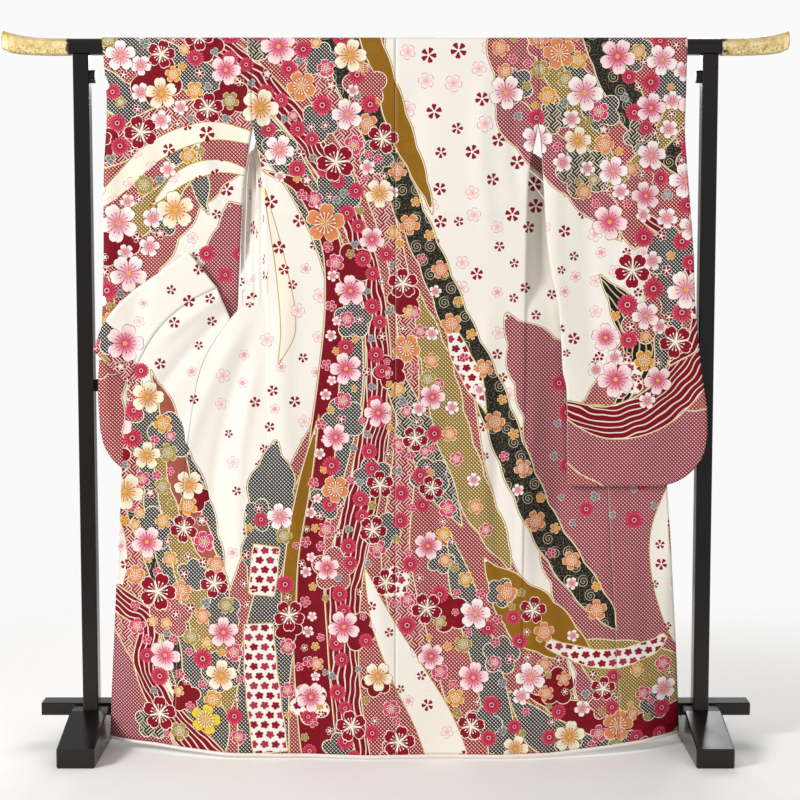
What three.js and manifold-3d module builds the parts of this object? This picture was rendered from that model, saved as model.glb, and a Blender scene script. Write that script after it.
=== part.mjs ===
// Furisode kimono shown from its back, hung over the rod of a lacquered kimono stand.
// Millimetres, +Z up. The back panels face -Y, the fronts are turned outwards on the +Y side.
import * as THREE from 'three';
import Module from 'manifold-3d';

const wasm = await Module();
wasm.setup();

// Stand
const standHalf = 715;          // post centre from the middle of the stand
const postWidth = 36;
const postDepth = 40;
const rodTop = 1640;
const rodHeight = 37;
const rodDepth = 30;
const rodHalf = 742;            // where the gold tips begin
const tipEnd = 895;             // outermost end of a tip
const footLength = 400;
const footInner = 676;          // inner and outer face of a foot, from the middle
const footOuter = 762;
const footHeight = 85;
const footNose = 45;            // height of a foot's low ends
const seat = 0.3;               // gap between pieces that touch

// Cloth
const clothWall = 2;
const collarWall = 3;
const lap = 6;                  // how far a front lies behind the back panel at the side seam
const rodLift = rodDepth / 2 + seat + clothWall / 2;        // cloth centre from the rod's axis plane
const foldTop = rodTop + seat + clothWall / 2;              // cloth centre on top of the rod
const foldArc = 14;             // height of the rounded stretch over the rod
const shoulderZ = foldTop - foldArc;
const hemZ = 13;
const hemRoll = 4;              // radius of the rolled hem
const backSwing = 117;          // how far the hem stands forward of the rod
const neckHalf = 90;
const sewnArmhole = 1420;       // sleeve is sewn to the body above this height
const rollRadius = 19;          // soft roll where a front turns back
const seam = 0.5;               // between the centre lines of two sewn edges
const rollHalf = Math.PI * rollRadius / 2;

const group = new THREE.Group();
export default group;

const silk = { color: 0xb6505c, roughness: 0.62, metalness: 0 };
const creamSilk = { color: 0xefe6d2, roughness: 0.6, metalness: 0 };
const lacquer = { color: 0x16110f, roughness: 0.22, metalness: 0 };
const goldLeaf = { color: 0xcfa84e, roughness: 0.4, metalness: 0.85 };

// ---------- helpers ----------

function add(name, geometry, finish) {
  const mesh = new THREE.Mesh(geometry, new THREE.MeshStandardMaterial(finish));
  mesh.name = name;
  group.add(mesh);
  return mesh;
}

// Smooth curve through one column of a table, read by another column that falls or rises steadily.
function track(table, key, column) {
  const rows = [...table].sort((a, b) => a[key] - b[key]);
  const slope = rows.map((row, i) => {
    const before = rows[Math.max(0, i - 1)];
    const after = rows[Math.min(rows.length - 1, i + 1)];
    return (after[column] - before[column]) / (after[key] - before[key]);
  });
  return (at) => {
    const x = Math.min(Math.max(at, rows[0][key]), rows[rows.length - 1][key]);
    let i = 0;
    while (i < rows.length - 2 && x > rows[i + 1][key]) i += 1;
    const span = rows[i + 1][key] - rows[i][key];
    const t = (x - rows[i][key]) / span;
    const a = rows[i][column], b = rows[i + 1][column];
    const ta = slope[i] * span, tb = slope[i + 1] * span;
    return (2 * t ** 3 - 3 * t ** 2 + 1) * a + (t ** 3 - 2 * t ** 2 + t) * ta
      + (3 * t ** 2 - 2 * t ** 3) * b + (t ** 3 - t ** 2) * tb;
  };
}

const clamp01 = (t) => Math.min(Math.max(t, 0), 1);
const ease = (t) => clamp01(t) ** 2 * (3 - 2 * clamp01(t));
const mix = (a, b, t) => a + (b - a) * t;

function signedVolume(position, index) {
  const a = new THREE.Vector3(), b = new THREE.Vector3(), c = new THREE.Vector3();
  let total = 0;
  for (let i = 0; i < index.length; i += 3) {
    a.fromArray(position, index[i] * 3);
    b.fromArray(position, index[i + 1] * 3);
    c.fromArray(position, index[i + 2] * 3);
    total += a.dot(b.cross(c)) / 6;
  }
  return total;
}

function solid(position, index) {
  if (signedVolume(position, index) < 0) {
    for (let i = 0; i < index.length; i += 3) [index[i + 1], index[i + 2]] = [index[i + 2], index[i + 1]];
  }
  const geometry = new THREE.BufferGeometry();
  geometry.setAttribute('position', new THREE.Float32BufferAttribute(position, 3));
  geometry.setIndex(index);
  geometry.computeVertexNormals();
  return geometry;
}

// A cloth wall on a grid of centre points. Cells that keep(i, j) refuses are left open.
function wall(grid, thickness, keep = () => true) {
  const rows = grid.length, columns = grid[0].length;
  const normal = (i, j) => {
    const along = grid[Math.min(i + 1, rows - 1)][j].clone().sub(grid[Math.max(i - 1, 0)][j]);
    const across = grid[i][Math.min(j + 1, columns - 1)].clone().sub(grid[i][Math.max(j - 1, 0)]);
    return along.cross(across).normalize();
  };
  const kept = (i, j) => i >= 0 && j >= 0 && i < rows - 1 && j < columns - 1 && keep(i, j);
  const position = [], index = [], slot = new Map();
  const corner = (i, j, side) => {
    const key = (i * columns + j) * 2 + side;
    if (!slot.has(key)) {
      const p = grid[i][j].clone().addScaledVector(normal(i, j), (side - 0.5) * thickness);
      slot.set(key, position.length / 3);
      position.push(p.x, p.y, p.z);
    }
    return slot.get(key);
  };
  const quad = (a, b, c, d) => index.push(a, b, c, a, c, d);
  const rim = (i0, j0, i1, j1) => quad(corner(i0, j0, 1), corner(i1, j1, 1), corner(i1, j1, 0), corner(i0, j0, 0));
  for (let i = 0; i < rows - 1; i += 1) {
    for (let j = 0; j < columns - 1; j += 1) {
      if (!kept(i, j)) continue;
      quad(corner(i, j, 1), corner(i + 1, j, 1), corner(i + 1, j + 1, 1), corner(i, j + 1, 1));
      quad(corner(i, j, 0), corner(i, j + 1, 0), corner(i + 1, j + 1, 0), corner(i + 1, j, 0));
      if (!kept(i - 1, j)) rim(i, j, i, j + 1);
      if (!kept(i + 1, j)) rim(i + 1, j + 1, i + 1, j);
      if (!kept(i, j - 1)) rim(i + 1, j, i, j);
      if (!kept(i, j + 1)) rim(i, j + 1, i + 1, j + 1);
    }
  }
  return solid(position, index);
}

// A closed solid through rings of points, with flat ends.
function loft(rings) {
  const position = [], index = [], count = rings[0].length;
  rings.flat().forEach((p) => position.push(p.x, p.y, p.z));
  const fan = (first, flip) => {
    for (let k = 1; k < count - 1; k += 1) {
      index.push(first, first + (flip ? k + 1 : k), first + (flip ? k : k + 1));
    }
  };
  for (let i = 0; i < rings.length - 1; i += 1) {
    for (let k = 0; k < count; k += 1) {
      const a = i * count + k, b = i * count + (k + 1) % count;
      index.push(a, b, b + count, a, b + count, a + count);
    }
  }
  fan(0, true);
  fan((rings.length - 1) * count, false);
  return solid(position, index);
}

function join(geometries) {
  const toSolid = (geometry) => new wasm.Manifold(new wasm.Mesh({
    numProp: 3,
    vertProperties: new Float32Array(geometry.attributes.position.array),
    triVerts: new Uint32Array(geometry.index.array),
  }));
  const whole = geometries.map(toSolid).reduce((a, b) => a.add(b)).getMesh();
  return solid([...whole.vertProperties], [...whole.triVerts]);
}

const steps = (from, to, count) => Array.from({ length: count + 1 }, (_, i) => mix(from, to, i / count));
const vec = (x, y, z) => new THREE.Vector3(x, y, z);

// ---------- form of the hanging cloth ----------

// Side edge of a back panel from the centre seam, at each height.
const backEdge = track([
  { z: 1660, x: 326 }, { z: 1450, x: 325 }, { z: 1337, x: 305 }, { z: 1200, x: 300 },
  { z: 820, x: 296 }, { z: 400, x: 291 }, { z: 0, x: 287 },
], 'z', 'x');

// Soft folds that run down the lower cloth, fading out above: place across, height they reach, depth.
const bodyFolds = [
  { x: -560, reach: 620, depth: 7, width: 46 }, { x: -385, reach: 480, depth: -6, width: 55 },
  { x: -205, reach: 560, depth: 6, width: 60 }, { x: -60, reach: 380, depth: -4, width: 50 },
  { x: 95, reach: 460, depth: 5, width: 58 }, { x: 240, reach: 620, depth: -6, width: 48 },
  { x: 410, reach: 420, depth: 6, width: 50 }, { x: 575, reach: 520, depth: -7, width: 52 },
];

function foldDepth(x, z) {
  return bodyFolds.reduce((sum, fold) => {
    const fade = ease(1 - z / fold.reach);
    return sum + fold.depth * fade * Math.exp(-(((x - fold.x) / fold.width) ** 2));
  }, 0);
}

function backY(x, z) {
  const drop = clamp01((shoulderZ - z) / shoulderZ);
  const crown = 1 - 0.06 * (x / 285) ** 2;
  return -rodLift - backSwing * drop ** 1.9 * crown + foldDepth(x, z);
}

// Over the rod: t runs from 0 on the back to 1 on the front.
function overRod(t) {
  const turn = Math.PI * t;
  return { y: -rodLift * Math.cos(turn), z: shoulderZ + foldArc * Math.sin(turn) };
}

// One row of the turned-out right front: distances along it map to a point.
const rightFront = {
  edgeY: track([
    { z: 1660, y: rodLift }, { z: 1600, y: rodLift }, { z: 1420, y: 9 }, { z: 1290, y: -14 }, { z: 1200, y: -24 },
  ], 'z', 'y'),
  fold: track([
    { z: 1660, s: 345 }, { z: 1520, s: 310 }, { z: 1440, s: 205 }, { z: 1350, s: 128 }, { z: 1200, s: 66 },
    { z: 1050, s: -6 }, { z: 975, s: -rollHalf - 4 }, { z: 0, s: -rollHalf - 4 },
  ], 'z', 's'),
  out: track([
    { z: 1660, y: 4 }, { z: 1300, y: 4 }, { z: 980, y: -15 }, { z: 850, y: -16 }, { z: 620, y: -27 },
    { z: 300, y: -18 }, { z: 0, y: 12 },
  ], 'z', 'y'),
  strip: track([
    { z: 1660, w: 238 }, { z: 1200, w: 232 }, { z: 1000, w: 205 }, { z: 850, w: 192 },
    { z: 580, w: 206 }, { z: 200, w: 228 }, { z: 0, w: 240 },
  ], 'z', 'w'),
  overlap: track([
    { z: 1410, w: 1 }, { z: 1200, w: 52 }, { z: 1000, w: 100 }, { z: 850, w: 127 },
    { z: 580, w: 137 }, { z: 200, w: 146 }, { z: 0, w: 148 },
  ], 'z', 'w'),
  band: track([
    { z: 1660, w: 50 }, { z: 1300, w: 66 }, { z: 1060, w: 86 }, { z: 935, w: 82 }, { z: 858, w: 5 },
  ], 'z', 'w'),
};

// Where a front begins at the side seam, just behind the back panel: x out from the middle, and depth.
function frontEdge(side, z) {
  const x = backEdge(z) - lap * ease((sewnArmhole - z) / 60);
  return { x, y: backY(side * x, z) + clothWall + seat };
}

// Points along a right front row, at the given distances from the side edge.
function rightRow(z, distances) {
  const edge = frontEdge(1, z);
  const startY = mix(edge.y, rightFront.edgeY(z), ease((z - 1190) / 120));
  const fold = rightFront.fold(z);
  const length = rightFront.strip(z) + rightFront.overlap(z);
  const lift = rightFront.out(z) - startY;
  const hold = ease((z - 350) / 260);         // high up the cloth passes quickly behind the sleeve
  const points = [];
  const step = 2;
  let x = edge.x, y = startY, s = 0;
  for (const distance of distances) {
    while (s < distance) {
      const ds = Math.min(step, distance - s);
      const turn = Math.PI * ease((s + ds / 2 - fold + rollHalf) / (2 * rollHalf));
      x -= Math.cos(turn) * ds;
      y += Math.sin(turn) * ds;
      s += ds;
    }
    const q = clamp01(s / length);
    const opened = ease((1120 - z) / 140);
    const rise = opened * lift * mix(q * q, ease(s / 92), hold);
    points.push(vec(x, y + rise + foldDepth(x, z) * (1 - hold), z));
  }
  return points;
}

// The hem rises a little towards the front corners.
const hemLift = track([
  { x: -690, z: 11 }, { x: -500, z: 6 }, { x: -350, z: 0 }, { x: 340, z: 0 }, { x: 485, z: 8 }, { x: 680, z: 18 },
], 'x', 'z');
const settled = (row) => row.map((p) => vec(p.x, p.y, p.z + hemLift(p.x) * ease(1 - p.z / 330)));

// ---------- body strips ----------

const backRows = 18, overRows = 6, frontRows = 33;
const bodyColumns = 18;

const frontLevels = steps(shoulderZ, hemZ, frontRows);

// Columns of a body strip as shares of its width, with one just at the neck.
const neckShare = neckHalf / 326;
const columnShares = [...steps(0, neckShare, 4), ...steps(neckShare, 1, bodyColumns - 4).slice(1)];
const neckColumn = 4;

function backRow(z, side) {
  return columnShares.map((share) => {
    const x = side * mix(seat / 2, backEdge(z), share);
    return vec(x, backY(x, z), z);
  });
}

function overRow(t, side) {
  const at = overRod(t);
  return columnShares.map((share) => vec(side * mix(seat / 2, backEdge(at.z), share), at.y, at.z));
}

function bodyStrip(side, frontRow) {
  const grid = [];
  steps(hemZ, shoulderZ, backRows).forEach((z) => grid.push(backRow(z, side)));
  steps(0, 1, overRows).slice(1).forEach((t) => grid.push(overRow(t, side)));
  frontLevels.slice(1).forEach((z) => {
    const inner = frontRow(z);
    // the columns short of the neck carry no cloth, they only keep the grid regular
    const spare = steps(0, 1, neckColumn).slice(0, neckColumn).map((t) => inner[0].clone().add(vec(0, 0, t)));
    grid.push([...spare, ...inner]);
  });
  const overTop = backRows + overRows / 2;
  return wall(grid.map(settled), clothWall, (i, j) => i < overTop || j >= neckColumn);
}

// Right front strip, from the neck side (column 0) to the side edge.
function rightBodyRow(z) {
  const width = rightFront.strip(z);
  const count = bodyColumns - neckColumn;
  return rightRow(z, steps(0, width, count)).reverse();
}

// Left front: it gathers from the shoulder to the gap beside the sleeve, comes through it to the
// back and opens out over the sleeve. angle 0 points to the centre, 180 outwards.
const leftFront = [
  { z: 1660, angle: 0, width: 236, pleat: 0, startY: rodLift },
  { z: 1600, angle: 0, width: 232, pleat: 0, startY: rodLift },
  { z: 1510, angle: 10, width: 184, pleat: 4, startY: 13 },
  { z: 1430, angle: 62, width: 88, pleat: 7, startY: 8 },
  { z: 1375, angle: 122, width: 56, pleat: 5, startY: 0 },
  { z: 1320, angle: 146, width: 52, pleat: 4, startY: -10 },
  { z: 1200, angle: 151, width: 58, pleat: 3, startY: -20 },
  { z: 1120, angle: 163, width: 54, pleat: 2, startY: -28 },
  { z: 1055, angle: 178, width: 50, pleat: 1, startY: -34 },
  { z: 1030, angle: 180, width: 62, pleat: 0, startY: -36 },
  { z: 1000, angle: 180, width: 90, pleat: 0, startY: -38 },
  { z: 905, angle: 180, width: 149, pleat: 0, startY: -43 },
  { z: 800, angle: 180, width: 176, pleat: 0, startY: -50 },
  { z: 588, angle: 180, width: 203, pleat: 0, startY: -65 },
  { z: 300, angle: 180, width: 218, pleat: 0, startY: -92 },
  { z: 0, angle: 180, width: 230, pleat: 0, startY: -126 },
];
const leftAt = Object.fromEntries(['angle', 'width', 'pleat', 'startY']
  .map((column) => [column, track(leftFront, 'z', column)]));

// Depth of the cloth that lies opened out on the left, at a distance out from the side edge.
const leftOut = track([
  { z: 1200, y: -34 }, { z: 1000, y: -34 }, { z: 850, y: -34 }, { z: 620, y: -33 }, { z: 300, y: -26 },
  { z: 0, y: -9 },
], 'z', 'y');
const leftReach = track([
  { z: 1200, w: 300 }, { z: 851, w: 318 }, { z: 669, w: 334 }, { z: 440, w: 349 }, { z: 186, w: 377 },
  { z: 0, w: 400 },
], 'z', 'w');

function leftY(x, z) {
  const edge = frontEdge(-1, z);
  const q = clamp01((-x - edge.x) / leftReach(z));
  const curve = mix(q * q, ease(2.2 * q), ease((z - 300) / 500));
  return mix(edge.y, leftOut(z), curve) + foldDepth(x, z) * ease((620 - z) / 300);
}

function leftBodyRow(z) {
  const count = bodyColumns - neckColumn;
  const edgeX = frontEdge(-1, z).x;
  const edgeY = mix(leftY(-edgeX, z), leftAt.startY(z), ease((z - 1000) / 120));
  const angle = THREE.MathUtils.degToRad(leftAt.angle(z));
  return steps(0, 1, count).map((t) => {
    const s = leftAt.width(z) * t;
    const x = edgeX - Math.cos(angle) * s;
    const open = ease((1040 - z) / 60);
    const wave = leftAt.pleat(z) * Math.sin(t * Math.PI * 6) * Math.sin(Math.PI * Math.min(1, t * 1.02));
    const turned = edgeY + Math.sin(angle) * s + Math.cos(angle) * wave;
    return vec(-x - Math.sin(angle) * wave * (1 - open), mix(turned, leftY(-x, z), open), z);
  }).reverse();
}

add('body_left', bodyStrip(-1, leftBodyRow), silk);
add('body_right', bodyStrip(1, rightBodyRow), silk);

// ---------- overlap panels (okumi) ----------

const okumiColumns = 7;
// Seams in the rolled, hidden stretch of the right front stand a little further apart.
const rolledSeam = (z, wall) => seam + wall * 0.8 * ease((z - 930) / 80);

const okumiTop = 1385;
add('okumi_right', wall(frontLevels.filter((z) => z < okumiTop).map((z) => {
  const start = rightFront.strip(z) + rolledSeam(z, clothWall);
  return rightRow(z, steps(start, start + rightFront.overlap(z), okumiColumns));
}).map(settled), clothWall), silk);

// Left overlap panel: seamZ is the height on its seam with the body strip, x and z its outer edge.
const okumiLeft = [
  { at: 0, seamZ: 1003, x: 409, z: 1073 }, { at: 1, seamZ: 985, x: 445, z: 1056 },
  { at: 2, seamZ: 955, x: 476, z: 1038 }, { at: 3, seamZ: 925, x: 519, z: 1004 },
  { at: 4, seamZ: 895, x: 556, z: 961 }, { at: 5, seamZ: 860, x: 588, z: 905 },
  { at: 6, seamZ: 815, x: 614, z: 851 }, { at: 7, seamZ: 770, x: 621, z: 795 },
  { at: 8, seamZ: 650, x: 630, z: 669 }, { at: 9, seamZ: 540, x: 637, z: 550 },
  { at: 10, seamZ: 430, x: 646, z: 436 }, { at: 11, seamZ: 180, x: 662, z: 184 },
  { at: 12, seamZ: hemZ, x: 670, z: hemZ },
];
const [okumiSeamZ, okumiX, okumiZ] = ['seamZ', 'x', 'z'].map((column) => track(okumiLeft, 'at', column));

// A turned-under edge: extra rows that roll round and go back under the first row of a grid.
const tuck = { radius: 2.7, reach: 24 };
function tuckedUnder(grid) {
  const { radius, reach } = tuck;
  const profile = [[reach, 2 * radius], [reach / 2, 2 * radius]];
  steps(90, -90, 5).forEach((degrees) => {
    const a = THREE.MathUtils.degToRad(degrees);
    profile.push([radius - radius * Math.cos(a), radius + radius * Math.sin(a)]);
  });
  const rolled = profile.map(([along, behind]) => grid[0].map((p, j) => {
    const into = grid[1][j].clone().sub(p).setY(0).normalize();
    return p.clone().addScaledVector(into, along).add(vec(0, behind, 0));
  }));
  return [...rolled, ...grid.slice(1)];
}

function flat(x, z) {
  return vec(-x, leftY(-x, z), z);
}

add('okumi_left', wall(tuckedUnder(steps(0, 12, 34).map((at) => {
  const z = okumiSeamZ(at);
  const inner = frontEdge(-1, z).x + leftAt.width(z) + seam;
  return steps(0, 1, okumiColumns).map((t) => flat(mix(inner, okumiX(at), t), mix(z, okumiZ(at), t)));
})).map(settled), clothWall), silk);

// ---------- collar ----------

const collarLift = rodDepth / 2 + seat + collarWall / 2;
const bandColumns = 5;

// Round the back of the neck: over the rod and down behind it.
const neckBand = wall([
  ...steps(0.53, 1, 4).map((t) => ({
    y: -collarLift * Math.cos(Math.PI * t),
    z: shoulderZ + (foldArc + collarWall / 2 - clothWall / 2) * Math.sin(Math.PI * t),
  })),
  ...steps(shoulderZ, 1532, 4).slice(1).map((z) => ({ y: collarLift, z })),
].map(({ y, z }) => steps(-neckHalf + 1, neckHalf - 1, 12).map((x) => vec(x, y, z))), collarWall);

// Down the right front, turned out behind the sleeve.
const collarTop = 1596;
const collarEnd = 858;
const bandLevels = [...frontLevels.filter((z) => z < collarTop && z > collarEnd + 10), collarEnd];
const rightBand = wall(bandLevels.map((z) => {
  const overlap = z > okumiTop ? 0 : rightFront.overlap(z) + rolledSeam(z, clothWall);
  const start = rightFront.strip(z) + overlap + rolledSeam(z, collarWall);
  return rightRow(z, steps(start, start + rightFront.band(z), bandColumns));
}), collarWall);

// Down the left front to the gap beside the sleeve.
const leftBandWidth = track([
  { z: 1660, w: 50 }, { z: 1510, w: 36 }, { z: 1420, w: 15 }, { z: 1300, w: 9 }, { z: 1060, w: 8 },
], 'z', 'w');
const gatheredSeam = 3.4;       // the pleated edge stands further from the band
const leftBand = wall(steps(collarTop, 1066, 18).map((z) => {
  const [end] = leftBodyRow(z);
  const angle = THREE.MathUtils.degToRad(leftAt.angle(z));
  return steps(0, leftBandWidth(z), 4).map((d) => {
    const reach = gatheredSeam + d;
    return vec(end.x + Math.cos(angle) * reach, end.y + Math.sin(angle) * reach, z);
  });
}), collarWall);

// The stretch under the opened front that joins the two.
const link = [
  { x1: 350, z1: 1082, x2: 357, z2: 1082, y: -24 }, { x1: 350, z1: 1062, x2: 358, z2: 1064, y: -26 },
  { x1: 350, z1: 1024, x2: 361, z2: 1032, y: -27 },
  { x1: 358, z1: 975, x2: 368, z2: 992, y: -27.5 }, { x1: 400, z1: 952, x2: 402, z2: 974, y: -27.5 },
  { x1: 452, z1: 1012, x2: 436, z2: 1026, y: -27.5 }, { x1: 474, z1: 1056, x2: 452, z2: 1068, y: -27.5 },
  { x1: 486, z1: 1096, x2: 466, z2: 1110, y: -27.5 },
];
const linkBand = wall(link.map((row) => steps(0, 1, 2).map((t) => (
  vec(-mix(row.x1, row.x2, t), row.y, mix(row.z1, row.z2, t))))), clothWall);

// Opened flat on the left: outer edge of the collar beside the matching stretch of the panel's seam.
const collarLeft = [
  { at: 0, x: 474, z: 1156 }, { at: 1, x: 514, z: 1128 }, { at: 2, x: 553, z: 1100 },
  { at: 3, x: 598, z: 1069 }, { at: 4, x: 640, z: 1030 }, { at: 5, x: 672, z: 985 }, { at: 6, x: 694, z: 931 },
];
const [collarX, collarZ] = ['x', 'z'].map((column) => track(collarLeft, 'at', column));
const openBand = wall(tuckedUnder(steps(0, 6, 20).map((at) => {
  const inner = vec(okumiX(at), 0, okumiZ(at));
  const outer = vec(collarX(at), 0, collarZ(at));
  inner.addScaledVector(outer.clone().sub(inner).normalize(), seam);
  return steps(0, 1, bandColumns).map((t) => {
    const p = inner.clone().lerp(outer, t);
    return flat(p.x, p.z);
  });
})), collarWall);

add('collar', join([neckBand, rightBand, leftBand, linkBand, openBand]), silk);

// ---------- sleeves ----------

const sleeves = {
  left: {
    side: -1, bottom: 640, backSwing: 5.5, frontSwing: 34, corner: 110,
    inner: track([
      { z: 1660, x: 326.8 }, { z: 1450, x: 325.8 }, { z: 1400, x: 334 }, { z: 1297, x: 348 }, { z: 1000, x: 364 },
      { z: 640, x: 374 },
    ], 'z', 'x'),
    outer: track([
      { z: 1660, x: 669 }, { z: 1580, x: 662 }, { z: 1480, x: 657 }, { z: 1326, x: 666 }, { z: 1137, x: 669 },
      { z: 970, x: 676 }, { z: 848, x: 686 }, { z: 725, x: 682 }, { z: 640, x: 682 },
    ], 'z', 'x'),
  },
  right: {
    side: 1, bottom: 618, backSwing: 25.5, frontSwing: 54, corner: 118,
    inner: track([
      { z: 1660, x: 326.8 }, { z: 1450, x: 325.8 }, { z: 1410, x: 332 }, { z: 1194, x: 346 }, { z: 1110, x: 356 },
      { z: 1037, x: 372 }, { z: 940, x: 381 }, { z: 885, x: 384 }, { z: 840, x: 393 }, { z: 618, x: 396 },
    ], 'z', 'x'),
    outer: track([
      { z: 1660, x: 663 }, { z: 1500, x: 660 }, { z: 1425, x: 659 }, { z: 1326, x: 667 }, { z: 1160, x: 681 },
      { z: 1032, x: 687 }, { z: 878, x: 703 }, { z: 800, x: 715 }, { z: 725, x: 717 }, { z: 618, x: 717 },
    ], 'z', 'x'),
  },
};
const wristOpening = 250;
const underRod = rodTop - rodHeight - 5;
const sewnGap = clothWall + 0.5;        // between the centres of two layers sewn together

const sleeveColumns = [0, 0.14, 0.28, 0.42, 0.54, 0.66, 0.76, 0.84, 0.9, 0.95, 0.985, 1];

// Soft folds down a sleeve: place across it as a share, depth.
const sleeveFolds = [{ share: 0.2, depth: 4 }, { share: 0.5, depth: -4 }, { share: 0.8, depth: 5 }];

// Inner edge of a sleeve: along the body strip where it is sewn on, free below.
function sleeveInner(sleeve, z) {
  return z > sewnArmhole ? Math.max(sleeve.inner(z), backEdge(z) + seam) : sleeve.inner(z);
}

function sleevePoint(sleeve, share, down, front) {
  const width = sleeve.outer(sleeve.bottom) - sleeve.inner(sleeve.bottom);
  const beside = Math.max(0, sleeve.corner - (1 - share) * width);
  const low = sleeve.bottom + sleeve.corner - Math.sqrt(sleeve.corner ** 2 - beside ** 2);
  const z = mix(underRod, low, down);
  const drop = Math.max(0, underRod - z) / (underRod - sleeve.bottom);
  const back = -rodLift - sleeve.backSwing * drop ** 1.2;
  const fore = Math.max(rodLift - sleeve.frontSwing * drop ** 0.75, back + sewnGap);
  const sewn = Math.max(
    ease((share - 0.72) / 0.26) * ease((shoulderZ - z - wristOpening) / 60),
    ease((down - 0.9) / 0.1),
  );
  const half = mix(fore - back, sewnGap, sewn) / 2;
  const fold = sleeveFolds.reduce((sum, f) => sum + f.depth * Math.exp(-(((share - f.share) / 0.09) ** 2)), 0)
    * ease((drop - 0.35) / 0.5) * (1 - ease((down - 0.93) / 0.07));
  const middle = mix((fore + back) / 2, back + half, sewn);
  return vec(
    sleeve.side * mix(sleeveInner(sleeve, z), sleeve.outer(z), share),
    middle + (front ? half : -half) + fold * 0.7,
    z,
  );
}

function sleeveWall(sleeve) {
  const layer = (front) => steps(0, 1, 18).map((down) => (
    sleeveColumns.map((share) => sleevePoint(sleeve, share, down, front))));
  const over = steps(0, 1, overRows).map((t) => {
    const at = overRod(t);
    return sleeveColumns.map((share) => (
      vec(sleeve.side * mix(sleeveInner(sleeve, at.z), sleeve.outer(at.z), share), at.y, at.z)));
  });
  return wall([...layer(false).reverse(), ...over, ...layer(true)], clothWall);
}

add('sleeve_left', sleeveWall(sleeves.left), silk);
add('sleeve_right', sleeveWall(sleeves.right), silk);

// ---------- rolled hem ----------

const hemLine = [
  ...steps(670, 290, 12).map((x) => flat(x, hemZ)),
  ...steps(-270, 270, 16).map((x) => vec(x, backY(x, hemZ), hemZ)),
  ...rightRow(hemZ, steps(14, rightFront.strip(0) + rightFront.overlap(0) - 1, 12)),
];
const hemSides = 8;
add('hem_roll', loft(settled(hemLine).map((p, i, line) => {
  const ahead = line[Math.min(i + 1, line.length - 1)].clone().sub(line[Math.max(i - 1, 0)]).setZ(0).normalize();
  const out = vec(-ahead.y, ahead.x, 0);
  const centre = p.clone().add(vec(0, 0, -hemRoll - seat));
  return Array.from({ length: hemSides }, (_, k) => {
    const a = (k + 0.5) * 2 * Math.PI / hemSides;
    return centre.clone().addScaledVector(out, hemRoll * Math.cos(a)).add(vec(0, 0, hemRoll * Math.sin(a)));
  });
})), creamSilk);

// ---------- stand ----------

// Section of the rod: flat sides, rounded top.
function rodSection(x, low, high, depth, arc) {
  const half = depth / 2, cut = 3;
  const ring = [[-half + cut, low], [half - cut, low], [half, low + cut]];
  steps(0, Math.PI, 8).forEach((a) => ring.push([half * Math.cos(a), high - arc + arc * Math.sin(a)]));
  ring.push([-half, low + cut]);
  return ring.map(([y, z]) => vec(x, y, z));
}

const rodLow = rodTop - rodHeight;
const rodArc = 13.6;
add('rod', loft([-rodHalf + seat, rodHalf - seat]
  .map((x) => rodSection(x, rodLow, rodTop - 0.3, rodDepth, rodArc))), lacquer);

// Tip stations: place along it, underside, top, depth.
const tipShape = [
  { x: rodHalf, low: rodLow - 0.5, high: rodTop, depth: 33 }, { x: 780, low: rodLow - 1, high: rodTop, depth: 33 },
  { x: 820, low: rodLow, high: rodTop + 2, depth: 34 }, { x: 855, low: rodLow + 2, high: rodTop + 7, depth: 35 },
  { x: 880, low: rodLow + 6, high: rodTop + 13, depth: 35 }, { x: tipEnd - 3, low: rodLow + 12, high: rodTop + 17, depth: 33 },
  { x: tipEnd, low: rodLow + 20, high: rodTop + 14, depth: 25 },
];
for (const [name, side] of [['tip_left', -1], ['tip_right', 1]]) {
  add(name, loft(tipShape.map((s) => rodSection(side * s.x, s.low, s.high, s.depth, rodArc))), goldLeaf);
}

// Low tie rail, let into the feet just behind the posts.
const tie = { half: 840, low: 60, high: 90, front: 28, back: 83 };
const slope = 95;               // where the flat top of a foot ends at the back
const footOutline = new THREE.Shape();
[
  [-footLength / 2, 0], [footLength / 2, 0], [footLength / 2, footNose], [slope, footHeight],
  [tie.back + seat, footHeight], [tie.back + seat, tie.low - seat], [tie.front - seat, tie.low - seat],
  [tie.front - seat, footHeight], [-26, footHeight], [-footLength / 2, footNose],
].forEach(([y, z], i) => (i ? footOutline.lineTo(y, z) : footOutline.moveTo(y, z)));

const midRail = { low: 833, high: 861, front: 6, back: 18 };
const peg = { radius: 15, length: 13, z: 1554 };

function bar(sizeX, sizeY, sizeZ, x, y, z) {
  const cut = 2.5;
  const outline = new THREE.Shape();
  const hx = sizeX / 2, hy = sizeY / 2;
  outline.moveTo(-hx + cut, -hy);
  [[hx - cut, -hy], [hx, -hy + cut], [hx, hy - cut], [hx - cut, hy], [-hx + cut, hy], [-hx, hy - cut], [-hx, -hy + cut]]
    .forEach(([a, b]) => outline.lineTo(a, b));
  const geometry = new THREE.ExtrudeGeometry(outline, { depth: sizeZ, bevelEnabled: false });
  geometry.translate(x, y, z);
  return geometry;
}

function alongX(sizeX, low, high, front, back) {
  const geometry = bar(high - low, back - front, sizeX, 0, 0, -sizeX / 2);
  geometry.rotateY(Math.PI / 2);
  geometry.translate(0, (front + back) / 2, (low + high) / 2);
  return geometry;
}

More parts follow.
